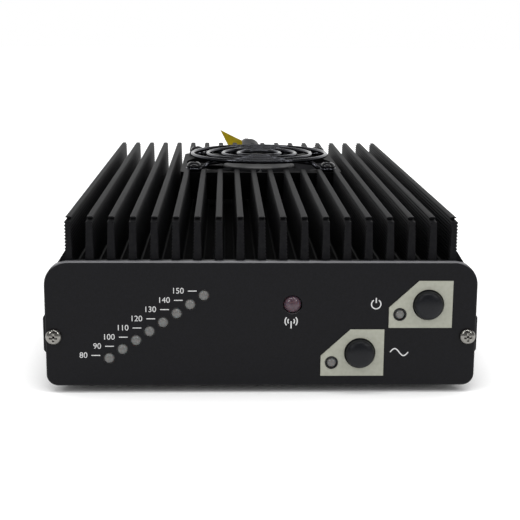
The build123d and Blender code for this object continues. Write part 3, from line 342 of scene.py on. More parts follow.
def makeFinTree():
    # One fin in mm: a sheet of rows set to the fin's section, then drawn out along the extrusion
    tree, add, size = newTree("serratedFin", finSizes)
    sheet = add(
        "GeometryNodeMeshGrid", {"Size X": 1.0, "Size Y": 1.0, "Vertices X": 2, "Vertices Y": size["Rows"]}
    )
    place = add("ShaderNodeSeparateXYZ", {0: add("GeometryNodeInputPosition")}).outputs
    share = add("ShaderNodeMath", {0: place["Y"], 1: 0.5}, operation="ADD")
    rise = add("ShaderNodeMath", {0: share, 1: size["Cut Height"]}, operation="MULTIPLY")
    widths = {"To Min": size["Root Width"], "To Max": size["Tip Width"]}
    taper = add("ShaderNodeMapRange", {"Value": rise, "From Max": size["Height"], **widths})
    half = add("ShaderNodeMath", {0: taper, 1: 0.5}, operation="MULTIPLY")
    isRight = add("FunctionNodeCompare", {0: place["X"], 1: 0.0}, operation="LESS_THAN")
    upright = add(
        "GeometryNodeSwitch", {0: isRight, 1: size["Left Half"], 2: size["Right Half"]}, input_type="FLOAT"
    )
    isUpright = add("FunctionNodeCompare", {0: upright, 1: 0.0}, operation="GREATER_THAN")
    half = add("GeometryNodeSwitch", {0: isUpright, 1: half, 2: upright}, input_type="FLOAT")

    # Grooves along the faces
    turns = add("ShaderNodeMath", {0: rise, 1: size["Serration Pitch"]}, operation="DIVIDE")
    groove = add("ShaderNodeMath", {0: turns, 1: 0.5}, operation="PINGPONG")
    groove = add("ShaderNodeMath", {0: groove, 1: 2.0}, operation="MULTIPLY")
    depth = add(
        "GeometryNodeSwitch",
        {0: isUpright, 1: size["Serration Depth"], 2: size["Outer Depth"]},
        input_type="FLOAT",
    )
    groove = add("ShaderNodeMath", {0: groove, 1: depth}, operation="MULTIPLY")
    half = add("ShaderNodeMath", {0: half, 1: groove}, operation="SUBTRACT")

    # Round at the root, which adds width, and at the tip, which takes it away
    below = add("ShaderNodeMath", {0: size["Root Round"], 1: rise}, operation="SUBTRACT")
    flare = roundOff(add, size["Root Round"], below)
    half = add("ShaderNodeMath", {0: half, 1: flare}, operation="ADD")
    tip = size["Tip Round"]
    tipStart = add("ShaderNodeMath", {0: size["Height"], 1: tip}, operation="SUBTRACT")
    above = add("ShaderNodeMath", {0: rise, 1: tipStart}, operation="SUBTRACT")
    pinch = roundOff(add, tip, above)
    half = add("ShaderNodeMath", {0: half, 1: pinch}, operation="SUBTRACT")

    # The sheet's left column becomes the fin's right side, so that it faces the rear
    side = add("ShaderNodeMath", {0: place["X"], 1: -2.0}, operation="MULTIPLY")
    across = add("ShaderNodeMath", {0: side, 1: half}, operation="MULTIPLY")
    isAbove = add("FunctionNodeCompare", {0: rise, 1: size["Slot Low"]}, operation="GREATER_THAN")
    isLip = add("FunctionNodeCompare", {0: rise, 1: size["Slot Top"]}, operation="GREATER_THAN")
    upper = add(
        "GeometryNodeSwitch", {0: isLip, 1: size["Slot Depth"], 2: size["Lip Back"]}, input_type="FLOAT"
    )
    endBack = add("GeometryNodeSwitch", {0: isAbove, 1: 0.0, 2: upper}, input_type="FLOAT")
    setBack = add("ShaderNodeMath", {0: endBack, 1: size["Front Cut"]}, operation="MULTIPLY")
    along = add("ShaderNodeMath", {0: size["From"], 1: setBack}, operation="ADD")
    spot = add("ShaderNodeCombineXYZ", {"X": across, "Y": along, "Z": rise})
    kept = add(
        "GeometryNodeStoreNamedAttribute",
        {"Geometry": sheet, "Name": "endBack", "Value": endBack},
        data_type="FLOAT",
    )
    section = add("GeometryNodeSetPosition", {"Geometry": kept, "Position": spot})

    # Draw the section out, cut the far end and close the near end
    length = add("ShaderNodeMath", {0: size["To"], 1: size["From"]}, operation="SUBTRACT")
    reach = add("ShaderNodeCombineXYZ", {"Y": length})
    drawn = add("GeometryNodeExtrudeMesh", {"Mesh": section, "Offset": reach, "Individual": False})
    stored = add("GeometryNodeInputNamedAttribute", {"Name": "endBack"}, data_type="FLOAT")
    bothCuts = add("ShaderNodeMath", {0: size["Front Cut"], 1: size["Rear Cut"]}, operation="ADD")
    cutBack = add("ShaderNodeMath", {0: stored.outputs["Attribute"], 1: bothCuts}, operation="MULTIPLY")
    cutBack = add("ShaderNodeMath", {0: cutBack, 1: -1.0}, operation="MULTIPLY")
    shift = add("ShaderNodeCombineXYZ", {"Y": cutBack})
    fin = add(
        "GeometryNodeSetPosition",
        {"Geometry": drawn.outputs["Mesh"], "Selection": drawn.outputs["Top"], "Offset": shift},
    )
    nearEnd = add("GeometryNodeFlipFaces", {"Mesh": section})
    closed = add("GeometryNodeJoinGeometry", {"Geometry": [fin, nearEnd]})
    welded = add("GeometryNodeMergeByDistance", {"Geometry": closed, "Distance": 0.001})
    add("NodeGroupOutput", {"Geometry": welded})
    return tree


def makeSinkTree(finTree):
    # All fins: whole ones, the outermost pair, and those that stop at the fan's pocket with stubs under it
    tree, add, size = newTree("finnedSink", sinkSizes)
    last = add("ShaderNodeMath", {0: size["Fin Count"], 1: 1.0}, operation="SUBTRACT")
    span = add("ShaderNodeMath", {0: last, 1: size["Fin Pitch"]}, operation="MULTIPLY")
    firstX = add("ShaderNodeMath", {0: span, 1: -0.5}, operation="MULTIPLY")
    start = add("ShaderNodeCombineXYZ", {"X": firstX, "Z": size["Base Top"]})
    step = add("ShaderNodeCombineXYZ", {"X": size["Fin Pitch"]})
    row = add("GeometryNodeMeshLine", {"Count": size["Fin Count"], "Start Location": start, "Offset": step})
    index = add("GeometryNodeInputIndex")
    tests = (("EQUAL", 0), ("EQUAL", last))
    tests += (("GREATER_EQUAL", size["Pocket First"]), ("LESS_EQUAL", size["Pocket Last"]))
    isFirst, isLast, isAfter, isBefore = [
        add("FunctionNodeCompare", {2: index, 3: value}, data_type="INT", operation=operation)
        for operation, value in tests
    ]
    isOuter = add("FunctionNodeBooleanMath", {0: isFirst, 1: isLast}, operation="OR")
    isCut = add("FunctionNodeBooleanMath", {0: isAfter, 1: isBefore}, operation="AND")
    isWhole = add("FunctionNodeBooleanMath", {0: isOuter, 1: isCut}, operation="NOR")
    whole = {**finSizes, **{name: size[name] for name in sharedSizes}}
    whole.update({"Cut Height": size["Height"], "From": size["Front"], "To": size["Rear"]})
    front = {"To": size["Pocket Front"], "Rear Cut": 0.0}
    rear = {"From": size["Pocket Rear"], "Front Cut": 0.0}
    stub = {"From": size["Pocket Front"], "To": size["Pocket Rear"], "Front Cut": 0.0, "Rear Cut": 0.0}
    stub.update({"Cut Height": size["Pocket Height"], "Tip Round": 0.0})
    kinds = (
        (isWhole, {}),
        (isFirst, {"Left Half": size["Outer Half"]}),
        (isLast, {"Right Half": size["Outer Half"]}),
        (isCut, front),
        (isCut, rear),
        (isCut, stub),
    )
    placed = []
    for selection, changes in kinds:
        fin = add("GeometryNodeGroup", {**whole, **changes}, node_tree=finTree)
        chosen = {"Points": row, "Selection": selection, "Instance": fin}
        placed.append(add("GeometryNodeInstanceOnPoints", chosen))
    together = add("GeometryNodeJoinGeometry", {"Geometry": placed})
    return finishTree(tree, together, size["Material"])


fins = growMesh(makeSinkTree(makeFinTree()), sinkSizes)
addPiece("heatSinkFins", fins, None, "case", "black_anodised", "heat_sink")
print("fins grown", len(fins.polygons))

# Base of the heat sink: half of its section, from the middle of its underside round to its top
sinkBase = {
    "half": (
        (58.8, 31.5), (58.8, 22.5), (59.0, 22.5), (59.0, 20.9), (57.6, 20.9), (57.6, 19.6), (60.4, 19.6),
        (60.4, 22.5), (61.0, 22.5), (61.0, 32.8), (55.8, 41.0), (55.2, 41.0), (55.2, 36.0),
    ),
    "edgeRound": 0.25,
    "inside": 0.02,  # its ends lie this far inside the fins' ends
}


def makeSinkBase():
    front = sinkSizes["Front"] + sinkBase["inside"]
    length = sinkSizes["Rear"] - sinkBase["inside"] - front
    right = [Vector((x, front, z)) * mm for x, z in sinkBase["half"]]
    left = [Vector((-p.x, p.y, p.z)) for p in reversed(right)]
    bm = bmesh.new()
    face = bm.faces.new([bm.verts.new(p) for p in right + left])
    drawn = bmesh.ops.extrude_face_region(bm, geom=[face])["geom"]
    moved = [v for v in drawn if isinstance(v, bmesh.types.BMVert)]
    bmesh.ops.translate(bm, vec=(0, length * mm, 0), verts=moved)
    bmesh.ops.recalc_face_normals(bm, faces=bm.faces)
    mesh = keepMesh(bm, "heatSinkBase")
    # The base wears the painted shade of the gaps between the fins
    piece = addPiece("heatSinkBase", mesh, valleyShadeBlack, "case", "black_anodised", "heat_sink")
    bevel = piece.modifiers.new("edges", "BEVEL")
    bevel.width = sinkBase["edgeRound"] * mm
    bevel.segments = 2


makeSinkBase()
print("sink base drawn")

# Anodised aluminium sheet, bead blasted: satin black with a fine even grit, and a painted highlight on its
# upward front edges
blastedPanel = grainedMaterial(
    "blastedAnodisedSheet", "#0c0c0f", "#121216", 0.5, (0.3, 0.4), 0.006, specular=0.16
)
# Painted highlight on the front panel's upward edge: how far its faces look up, and where it ends at the back
edgeHighlight = {"colour": "#7c7c7f", "from": 0.45, "to": 0.8, "back": -103.7}


def paintEdgeHighlight(material):
    # Paints a pale highlight on the faces that look up, along the panel's front
    tree = material.node_tree
    add = partial(addNode, tree)
    shader = tree.nodes["Principled BSDF"]
    surface = add("ShaderNodeNewGeometry").outputs
    facing = add("ShaderNodeSeparateXYZ", {0: surface["True Normal"]})
    highlight = add(
        "ShaderNodeMapRange",
        {"Value": facing.outputs["Z"], "From Min": edgeHighlight["from"], "From Max": edgeHighlight["to"]},
    )
    place = add("ShaderNodeSeparateXYZ", {0: add("ShaderNodeTexCoord").outputs["Object"]}).outputs
    back = edgeHighlight["back"] * mm
    atFront = add("ShaderNodeMath", {0: place["Y"], 1: back}, operation="LESS_THAN")
    highlight = add("ShaderNodeMath", {0: highlight, 1: atFront}, operation="MULTIPLY")
    plain = shader.inputs["Base Color"].links[0].from_socket
    pale = linear(edgeHighlight["colour"])
    mixed = add("ShaderNodeMix", {0: highlight, 6: plain, 7: pale}, data_type="RGBA")
    tree.links.new(mixed.outputs[2], shader.inputs["Base Color"])


paintEdgeHighlight(blastedPanel)

# Lacquered steel plate: grey-olive stove enamel with a faint orange-peel skin
keyPlateEnamel = grainedMaterial("stoveEnamel", "#9fa093", "#a9aa9e", 1.2, (0.42, 0.52), 0.01, specular=0.3)

# ABS, injection moulded in a spark-eroded mould: bluish black with a fine satin texture
buttonAbs = grainedMaterial("mouldedAbs", "#0b0c10", "#14161b", 0.45, (0.34, 0.46), 0.012, specular=0.3)

# Glass-filled PBT, moulded: dull deep black with faint flow marks
fanPbt = grainedMaterial("glassFilledPbt", "#060607", "#0c0c0d", 2.5, (0.42, 0.52), 0.012, specular=0.04)

# PBT without glass on the rotor: smoother, dark grey blades with a soft sheen
rotorPbt = grainedMaterial("mouldedRotorPbt", "#1a1a1c", "#232326", 2.5, (0.3, 0.4), 0.012, specular=0.3)

# Steel wire under black chrome: a dark mirror that shows little but the lamps, as bright streaks
chromedWire = grainedMaterial("blackChromedWire", "#44454a", "#505156", 3.0, (0.14, 0.2), 0.001, Metallic=1.0)

# Black oxide on steel screws, oiled: dark with sharp small lights
blackOxide = grainedMaterial("blackOxideSteel", "#08080a", "#111114", 0.8, (0.1, 0.16), 0.008, specular=0.7)

# Stainless steel, cold headed: bright grey with fine scuffs
stainlessHead = grainedMaterial(
    "coldHeadedStainless", "#8f8d88", "#a19f9a", 1.2, (0.2, 0.3), 0.002, Metallic=1.0
)

# Nickel plate on turned brass: warm bright grey, a little uneven
nickelPlate = grainedMaterial("nickelPlatedBrass", "#aeaaa1", "#bbb7ae", 0.8, (0.2, 0.3), 0.002, Metallic=1.0)

# PTFE, turned from rod: waxy white, a little see-through at its edges
turnedPtfe = grainedMaterial(
    "turnedPtfe", "#e4e2da", "#f0eee8", 0.8, (0.4, 0.5), 0.006, Subsurface_Weight=0.15, Subsurface_Scale=0.001
)

# Gold flash on brass contacts: warm yellow metal with light wear
goldFlash = grainedMaterial("goldFlashedBrass", "#b08a45", "#d0aa5e", 0.6, (0.2, 0.34), 0.008, Metallic=1.0)

# Natural rubber, moulded: dull black with a dusty bloom
footRubber = grainedMaterial("mouldedRubber", "#121212", "#1e1e1d", 0.9, (0.7, 0.85), 0.03, specular=0.25)

# Nylon, moulded: dark with a soft sheen and slight unevenness
mouldedNylon = grainedMaterial("mouldedNylon", "#111112", "#1b1b1d", 0.7, (0.38, 0.5), 0.015, specular=0.4)

# Vinyl film: dull mustard yellow, handled and slightly dirty
yellowVinyl = grainedMaterial("vinylFilm", "#a8970f", "#bda91c", 3.0, (0.4, 0.55), 0.02, specular=0.3)

# Diffused epoxy of an unlit lamp: milky grey that lets a little light in
diffusedEpoxy = grainedMaterial(
    "diffusedEpoxy", "#636362", "#717170", 0.6, (0.18, 0.26), 0.006,
    Subsurface_Weight=0.1, Subsurface_Scale=0.0004,
)

# Tinted epoxy of an unlit lamp: dull mauve with a gloss
mauveEpoxy = grainedMaterial(
    "tintedEpoxy", "#46343d", "#594750", 0.9, (0.16, 0.26), 0.004,
    Subsurface_Weight=0.2, Subsurface_Scale=0.001,
)

# Solder resist on glass-epoxy board: deep green gloss over the weave
boardLacquer = grainedMaterial("solderResist", "#0f4a28", "#176336", 0.6, (0.25, 0.4), 0.01)

# Epoxy moulding compound of components: matt charcoal with a fine grit
mouldedEpoxy = grainedMaterial(
    "mouldingCompound", "#161617", "#222224", 0.3, (0.55, 0.7), 0.01, specular=0.35
)

# Ferrite, pressed and sintered: dark grey ceramic with small pits
sinteredFerrite = grainedMaterial(
    "sinteredFerrite", "#2c2a2a", "#403d3c", 0.5, (0.5, 0.7), 0.03, specular=0.4
)

# Enamelled copper wire: brown-red metal under clear varnish
enamelledCopper = grainedMaterial(
    "enamelledCopper", "#8a4420", "#b5622f", 0.8, (0.2, 0.32), 0.01, Metallic=1.0, Coat_Weight=0.5
)

# Shrunk PVC sleeve on a capacitor's can: smooth dark blue
shrunkSleeve = grainedMaterial("shrunkSleeve", "#252c55", "#313a6c", 1.5, (0.3, 0.4), 0.02, specular=0.45)

# PVC wire insulation: even red with a soft gloss
redInsulation = grainedMaterial(
    "redPvcInsulation", "#8c1414", "#a81f1c", 1.0, (0.35, 0.45), 0.01, specular=0.45
)

# PVC ribbon cable: pale grey, ridged along its cores
ribbonPvc = grainedMaterial(
    "ribbonPvc", "#9a9a9b", "#adadae", 1.27, (0.4, 0.5), 0.04, stretch=(1, 0.05, 1), specular=0.4
)

# Screen-print ink: thin matt white
whiteInk = grainedMaterial("screenPrintInk", "#c9c9c9", "#dadada", 0.6, (0.5, 0.6), 0.004, specular=0.2)

# Solids that are shown as they are
finishes = (
    (trayBlack, ("bottom_tray",)),
    (blastedPanel, ("front_panel", "rear_panel")),
    (keyPlateEnamel, ("power_plate", "mode_plate")),
    (fanPbt, ("fan_frame", "fan_stator")),
    (rotorPbt, ("fan_rotor",)),
    (stainlessHead, ("board_screws", "front_board_screws", "board_standoffs")),
    (nickelPlate, ("radio_socket_shell", "antenna_socket_shell")),
    (turnedPtfe, ("radio_socket_insulator", "antenna_socket_insulator")),
    (goldFlash, ("radio_socket_contact", "antenna_socket_contact", "plug_contacts")),
    (footRubber, ("rubber_feet", "fan_lead_grommet")),
    (mouldedNylon, ("strain_relief", "cord_plug", "coil_tie", "front_board_spacers")),
    (diffusedEpoxy, ("level_leds", "power_led", "mode_led")),
    (mauveEpoxy, ("transmit_led",)),
    (boardLacquer, ("main_board", "front_board")),
    (mouldedEpoxy, ("relays", "rf_transistors", "terminal_block", "power_switch", "mode_switch")),
    (sinteredFerrite, ("input_transformer", "output_transformer")),
    (enamelledCopper, ("filter_coils",)),
    (shrunkSleeve, ("capacitors",)),
    (redInsulation, ("cord_cores", "fan_leads", "socket_wires")),
    (ribbonPvc, ("flat_cable",)),
)
for material, names in finishes:
    for name in names:
        for slot in nodes[name].material_slots:
            slot.material = material
print("solids painted")

# Print on the front panel: numbers and ticks beside the level lamps, and three signs
panelPrint = {
    "front": -105.2,
    "thickness": 0.03,
    "tick": (2.5, 0.26),
    "tickStart": (-47.3, 11.25),  # middle of the lowest tick
    "tickStep": (3.94, 2.7),
    "numbers": ("80", "90", "100", "110", "120", "130", "140", "150"),
    "numberSize": 2.35,
    "numberGap": 1.1,  # from a number to its tick
    "powerSign": (32.6, 26.3),
    "transmitSign": (8.4, 20.7),
    "modeSign": (39.6, 12.1),
    "signLine": 0.34,
    "powerRing": (1.35, 122, 418),  # radius, and from and to in degrees
    "powerBar": (0.35, 1.85),
    "mast": (-1.5, 0.6),
    "waves": (0.95, 1.75),  # radii
    "waveHalf": 42,  # degrees
    "cycle": (5.2, 1.05),  # length and height
    "cycleSteps": 32,
}
tickX, tickZ = panelPrint["tickStart"]
stepX, stepZ = panelPrint["tickStep"]
tickLength, tickWidth = panelPrint["tick"]


def flatPrint(flat, x, z):
    # Stands a flat mesh, drawn in mm, up against the panel's front
    upright = Matrix.Rotation(math.pi / 2, 4, "X")
    onPanel = Vector((x, panelPrint["front"] - panelPrint["thickness"] / 2, z)) * mm
    flat.transform(Matrix.Translation(onPanel) @ upright @ Matrix.Scale(mm, 4))
    return flat


def strokes(name, lines, width, thickness):
    # Ribbons of even width along flat lines, each closed all round
    bm = bmesh.new()
    for line in lines:
        points = [Vector(p) for p in line]
        rails = []
        for i, point in enumerate(points):
            ahead = points[min(i + 1, len(points) - 1)] - points[max(i - 1, 0)]
            side = Vector((-ahead.y, ahead.x)).normalized() * width / 2
            ring = []
            for across, height in ((1, -1), (1, 1), (-1, 1), (-1, -1)):
                ring.append(bm.verts.new((*(point + side * across), height * thickness / 2)))
            rails.append(ring)
        for here, there in zip(rails, rails[1:]):
            for i in range(4):
                bm.faces.new((here[i], here[(i + 1) % 4], there[(i + 1) % 4], there[i]))
        bm.faces.new(rails[0])
        bm.faces.new(reversed(rails[-1]))
    bmesh.ops.recalc_face_normals(bm, faces=bm.faces)
    return keepMesh(bm, name)


def arc(radius, fromDegrees, toDegrees, middle=(0, 0), steps=20):
    angles = [math.radians(fromDegrees + (toDegrees - fromDegrees) * i / steps) for i in range(steps + 1)]
    return [(middle[0] + radius * math.cos(a), middle[1] + radius * math.sin(a)) for a in angles]


def makeNumbers():
    bm = bmesh.new()
    for i, number in enumerate(panelPrint["numbers"]):
        text = bpy.data.curves.new("number", "FONT")
        text.body = number
        text.size = panelPrint["numberSize"]
        text.extrude = panelPrint["thickness"] / 2
        text.align_x = "RIGHT"
        text.align_y = "CENTER"
        holder = newObject("number", text)
        flat = plainMesh(holder)
        bpy.data.objects.remove(holder)
        x = tickX + i * stepX - tickLength / 2 - panelPrint["numberGap"]
        bm.from_mesh(flatPrint(flat, x, tickZ + i * stepZ))
    addPiece("panelNumbers", keepMesh(bm, "panelNumbers"), whiteInk, "case", "panel_black")


def makeSigns():
    # Power: a broken ring and a bar
    low, high = panelPrint["powerBar"]
    power = [arc(*panelPrint["powerRing"]), [(0, low), (0, high)]]
    # Transmit: a mast with waves to both sides
    foot, top = panelPrint["mast"]
    transmit = [[(0, foot), (0, top)]]
    for radius in panelPrint["waves"]:
        for middle in (0, 180):
            ends = (middle - panelPrint["waveHalf"], middle + panelPrint["waveHalf"])
            transmit.append(arc(radius, *ends, (0, top), steps=10))
    # Mode: one cycle of a wave
    length, height = panelPrint["cycle"]
    shares = [i / panelPrint["cycleSteps"] for i in range(panelPrint["cycleSteps"] + 1)]
    mode = [[(length * (s - 0.5), height * math.sin(2 * math.pi * s)) for s in shares]]
    for name, lines in (("powerSign", power), ("transmitSign", transmit), ("modeSign", mode)):
        flat = strokes(name, lines, panelPrint["signLine"], panelPrint["thickness"])
        addPiece(name, flatPrint(flat, *panelPrint[name]), whiteInk, "case", "panel_black")


# A row of equal bars or rings, by one tree each
tickSizes = {
    "Count": len(panelPrint["numbers"]),
    "Start": (tickX, panelPrint["front"] - panelPrint["thickness"] / 2, tickZ),
    "Step": (stepX, 0.0, stepZ),
    "Bar": (tickLength, panelPrint["thickness"], tickWidth),
    "Material": whiteInk,
}
ringSizes = {
    "Count": 8,
    "Start": (-43.5, panelPrint["front"], 10.45),
    "Step": (3.86, 0.0, 2.63),
    "Radius": 1.62,
    "Wire": 0.14,
    "Material": mouldedNylon,
}


def makeTickTree():
    tree, add, size = newTree("tickRow", tickSizes)
    return finishRow(tree, size, add("GeometryNodeMeshCube", {"Size": size["Bar"]}))


def makeRingTree():
    tree, add, size = newTree("ringRow", ringSizes)
    circle = add("GeometryNodeCurvePrimitiveCircle", {"Resolution": 48, "Radius": size["Radius"]})
    wire = add("GeometryNodeCurvePrimitiveCircle", {"Resolution": 8, "Radius": size["Wire"]})
    ring = add("GeometryNodeCurveToMesh", {"Curve": circle, "Profile Curve": wire})
    smooth = add("GeometryNodeSetShadeSmooth", {"Geometry": ring})
    upright = add("GeometryNodeTransform", {"Geometry": smooth, "Rotation": towardFront})
    return finishRow(tree, size, upright)


# Flag tag of vinyl film, held to the cord by a dark sleeve just before the cord's highest point
flag = {
    "corners": ((-12.9, 172.5, 48.0), (-1.6, 177.0, 42.0), (-1.4, 177.0, 39.4), (-8.8, 174.5, 39.7)),
    "steps": 8,
    "curl": 0.7,
    "thickness": 0.45,
}
sleeve = {
    "middle": (2.65, 178.8, 36.9),
    "axis": (-0.0245, 0.980, 0.196),
    "bore": 3.3,
    "outside": 5.0,
    "length": 8.5,
    "edge": 0.8,
}


def makeFlag():
    outerTop, innerTop, innerLow, outerLow = [Vector(corner) for corner in flag["corners"]]
    steps = flag["steps"]
    bm = bmesh.new()
    rows = []
    for i in range(steps + 1):
        down = i / steps
        outer = outerTop.lerp(outerLow, down)
        inner = innerTop.lerp(innerLow, down)
        row = []
        for j in range(steps + 1):
            bow = Vector((0, flag["curl"] * math.sin(math.pi * j / steps), 0))
            row.append(bm.verts.new((outer.lerp(inner, j / steps) - bow) * mm))
        rows.append(row)
    for upper, lower in zip(rows, rows[1:]):
        for j in range(steps):
            bm.faces.new((upper[j], lower[j], lower[j + 1], upper[j + 1]))
    bmesh.ops.solidify(bm, geom=bm.faces[:], thickness=flag["thickness"] * mm)
    bmesh.ops.recalc_face_normals(bm, faces=bm.faces)
    addPiece("cordFlag", keepMesh(bm, "cordFlag"), yellowVinyl, "case", "tag_yellow", "cord_tag")


sharpAngle = 0.7  # radians: edges that bend more stay sharp


def turnedMesh(name, profile, middle, axis, sides=48):
    # Solid turned about an axis from (radius, height) points in mm
    turn = Vector((0, 0, 1)).rotation_difference(Vector(axis)).to_matrix()
    bm = bmesh.new()
    lines = []
    for i in range(sides):
        angle = 2 * math.pi * i / sides
        spots = [Vector((r * math.cos(angle), r * math.sin(angle), h)) for r, h in profile]
        lines.append([bm.verts.new((Vector(middle) + turn @ spot) * mm) for spot in spots])
    for here, there in zip(lines, lines[1:] + lines[:1]):
        for k in range(len(profile)):
            after = (k + 1) % len(profile)
            bm.faces.new((here[k], there[k], there[after], here[after]))
    bmesh.ops.remove_doubles(bm, verts=bm.verts, dist=1e-7)
    bmesh.ops.recalc_face_normals(bm, faces=bm.faces)
    for face in bm.faces:
        face.smooth = True
    for edge in bm.edges:
        edge.smooth = edge.calc_face_angle(0) < sharpAngle
    return keepMesh(bm, name)


def makeSleeve():
    half = sleeve["length"] / 2
    rim = sleeve["outside"] - sleeve["edge"]
    section = ((sleeve["bore"], -half), (rim, -half), (sleeve["outside"], sleeve["edge"] - half))
    section += ((sleeve["outside"], half - sleeve["edge"]), (rim, half), (sleeve["bore"], half))
    mesh = turnedMesh("flagSleeve", section, sleeve["middle"], sleeve["axis"])
    addPiece("flagSleeve", mesh, cordJacket, "case", "cord_grey", "cord_tag")


makeFlag()
makeSleeve()
print("tag hung")

# Push buttons: domed caps on their plungers, each riding on its own body
buttons = {
    "front": -108.6,
    "profile": (  # radius, and depth behind the front
        (0.0, 0.0), (1.2, 0.06), (2.2, 0.24), (3.0, 0.5), (3.6, 0.88), (4.0, 1.4), (4.15, 2.1), (4.15, 6.2),
        (1.5, 6.2), (1.5, 12.2), (0.0, 12.2),
    ),
    "places": (("power_button", 47.5, 26.2), ("mode_button", 28.2, 11.95)),
}
for node, x, z in buttons["places"]:
    cap = turnedMesh(node, buttons["profile"], (x, buttons["front"], z), (0, 1, 0), sides=64)
    addPiece(node + "_cap", cap, buttonAbs, node, "button_black", node)

# Pan-head screws with a cross recess, in rows of two, by one tree
screwSizes = {
    "Count": 2,
    "Start": zero,
    "Step": zero,
    "Turn": zero,
    "Head Radius": 2.8,
    "Head Height": 2.0,
    "Shank Radius": 1.4,
    "Shank Length": 4.0,
    "Slot Span": 1.0,  # this and the width as shares of the head's radius
    "Slot Width": 0.3,
    "Bulge": 0.8,  # power that fills out the head's dome
    "Material": stainlessHead,
}
upward = (0.0, 0.0, 0.4)  # with the cross turned a little
fanScrew = {"Step": (50.0, 0.0, 0.0), "Turn": upward, "Material": blackOxide}
panelScrew = {"Step": (118.2, 0.0, 0.0), "Head Radius": 2.33, "Head Height": 1.7}
socketScrew = {"Step": (18.2, 0.0, 0.0), "Turn": towardRear, "Head Radius": 2.7, "Head Height": 1.8}
frontScrew = {**panelScrew, "Turn": towardFront}
rearScrew = {**panelScrew, "Turn": towardRear}
screwRows = (
    ("fanScrewsFront", "fan_screws", "black_screw", fanScrew, (-22.0, 7.3, 50.7)),
    ("fanScrewsRear", "fan_screws", "black_screw", fanScrew, (-22.0, 57.3, 50.7)),
    ("frontScrews", "front_panel_screws", "stainless", frontScrew, (-59.1, -105.2, 16.8)),
    ("rearScrews", "rear_panel_screws", "stainless", rearScrew, (-59.1, 94.8, 16.8)),
    ("radioScrewsLow", "socket_screws", "stainless", socketScrew, (-49.1, 97.2, 11.3)),
    ("radioScrewsHigh", "socket_screws", "stainless", socketScrew, (-49.1, 97.2, 29.5)),
    ("antennaScrewsLow", "socket_screws", "stainless", socketScrew, (30.9, 97.2, 11.3)),
    ("antennaScrewsHigh", "socket_screws", "stainless", socketScrew, (30.9, 97.2, 29.5)),
)


def makeScrewTree():
    tree, add, size = newTree("panScrewRow", screwSizes)
    radius, height = size["Head Radius"], size["Head Height"]
    ball = add("GeometryNodeMeshUVSphere", {"Segments": 48, "Rings": 32, "Radius": 1.0})
    smooth = add("GeometryNodeSetShadeSmooth", {"Geometry": ball})
    place = add("ShaderNodeSeparateXYZ", {0: add("GeometryNodeInputPosition")}).outputs

    # Upper half bulged like a pan head, lower half pressed flat
    rise = add("ShaderNodeMath", {0: place["Z"], 1: 0.0}, operation="MAXIMUM")
    rise = add("ShaderNodeMath", {0: rise, 1: size["Bulge"]}, operation="POWER")
    across = add("ShaderNodeCombineXYZ", {"X": place["X"], "Y": place["Y"], "Z": rise})
    girth = add("ShaderNodeCombineXYZ", {"X": radius, "Y": radius, "Z": height})
    spot = add("ShaderNodeVectorMath", {0: across, 1: girth}, operation="MULTIPLY")
    head = add("GeometryNodeSetPosition", {"Geometry": smooth, "Position": spot})

    # Cross recess: two bars that reach half way down the head
    span = add("ShaderNodeMath", {0: radius, 1: size["Slot Span"]}, operation="MULTIPLY")
    width = add("ShaderNodeMath", {0: radius, 1: size["Slot Width"]}, operation="MULTIPLY")
    barOne = add("ShaderNodeCombineXYZ", {"X": span, "Y": width, "Z": height})
    barTwo = add("ShaderNodeCombineXYZ", {"X": width, "Y": span, "Z": height})
    lift = add("ShaderNodeCombineXYZ", {"Z": height})
    bars = []
    for bar in (barOne, barTwo):
        block = add("GeometryNodeMeshCube", {"Size": bar})
        bars.append(add("GeometryNodeTransform", {"Geometry": block, "Translation": lift}))
    cut = add("GeometryNodeMeshBoolean", {"Mesh 1": head, "Mesh 2": bars}, operation="DIFFERENCE")

    # Shank under the head
    shank = add(
        "GeometryNodeMeshCylinder",
        {"Vertices": 24, "Radius": size["Shank Radius"], "Depth": size["Shank Length"]},
    )
    drop = add("ShaderNodeMath", {0: size["Shank Length"], 1: -0.5}, operation="MULTIPLY")
    down = add("ShaderNodeCombineXYZ", {"Z": drop})
    lowered = add("GeometryNodeTransform", {"Geometry": shank, "Translation": down})
    screw = add("GeometryNodeJoinGeometry", {"Geometry": [cut, lowered]})
    return finishRow(tree, size, screw, size["Turn"])


screwTree = makeScrewTree()
for name, node, slot, changes, start in screwRows:
    screws = growMesh(screwTree, {**screwSizes, **changes, "Start": start})
    addPiece(name, screws, None, "case", slot, node)
print("buttons and screws fitted")

# Finger guard: rings welded on four arms that step down to eyelets under the fan's screws
guardSizes = {
    "Middle": (3.0, 32.3, 0.0),
    "Wire": 0.75,
    "Ring Count": 4,
    "Outer Ring": 26.2,
    "Ring Step": 6.0,
    "Ring Height": 52.65,
    "Arm Count": 4,
    "First Arm": math.pi / 4,
    "Arm Start": 7.45,
    "Arm End": 32.96,
    "Arm Height": 51.35,
    "Bend From": 27.4,
    "Bend To": 30.8,
    "Eyelet Radius": 2.4,
    "Eyelet Height": 49.95,
    "Material": chromedWire,
}


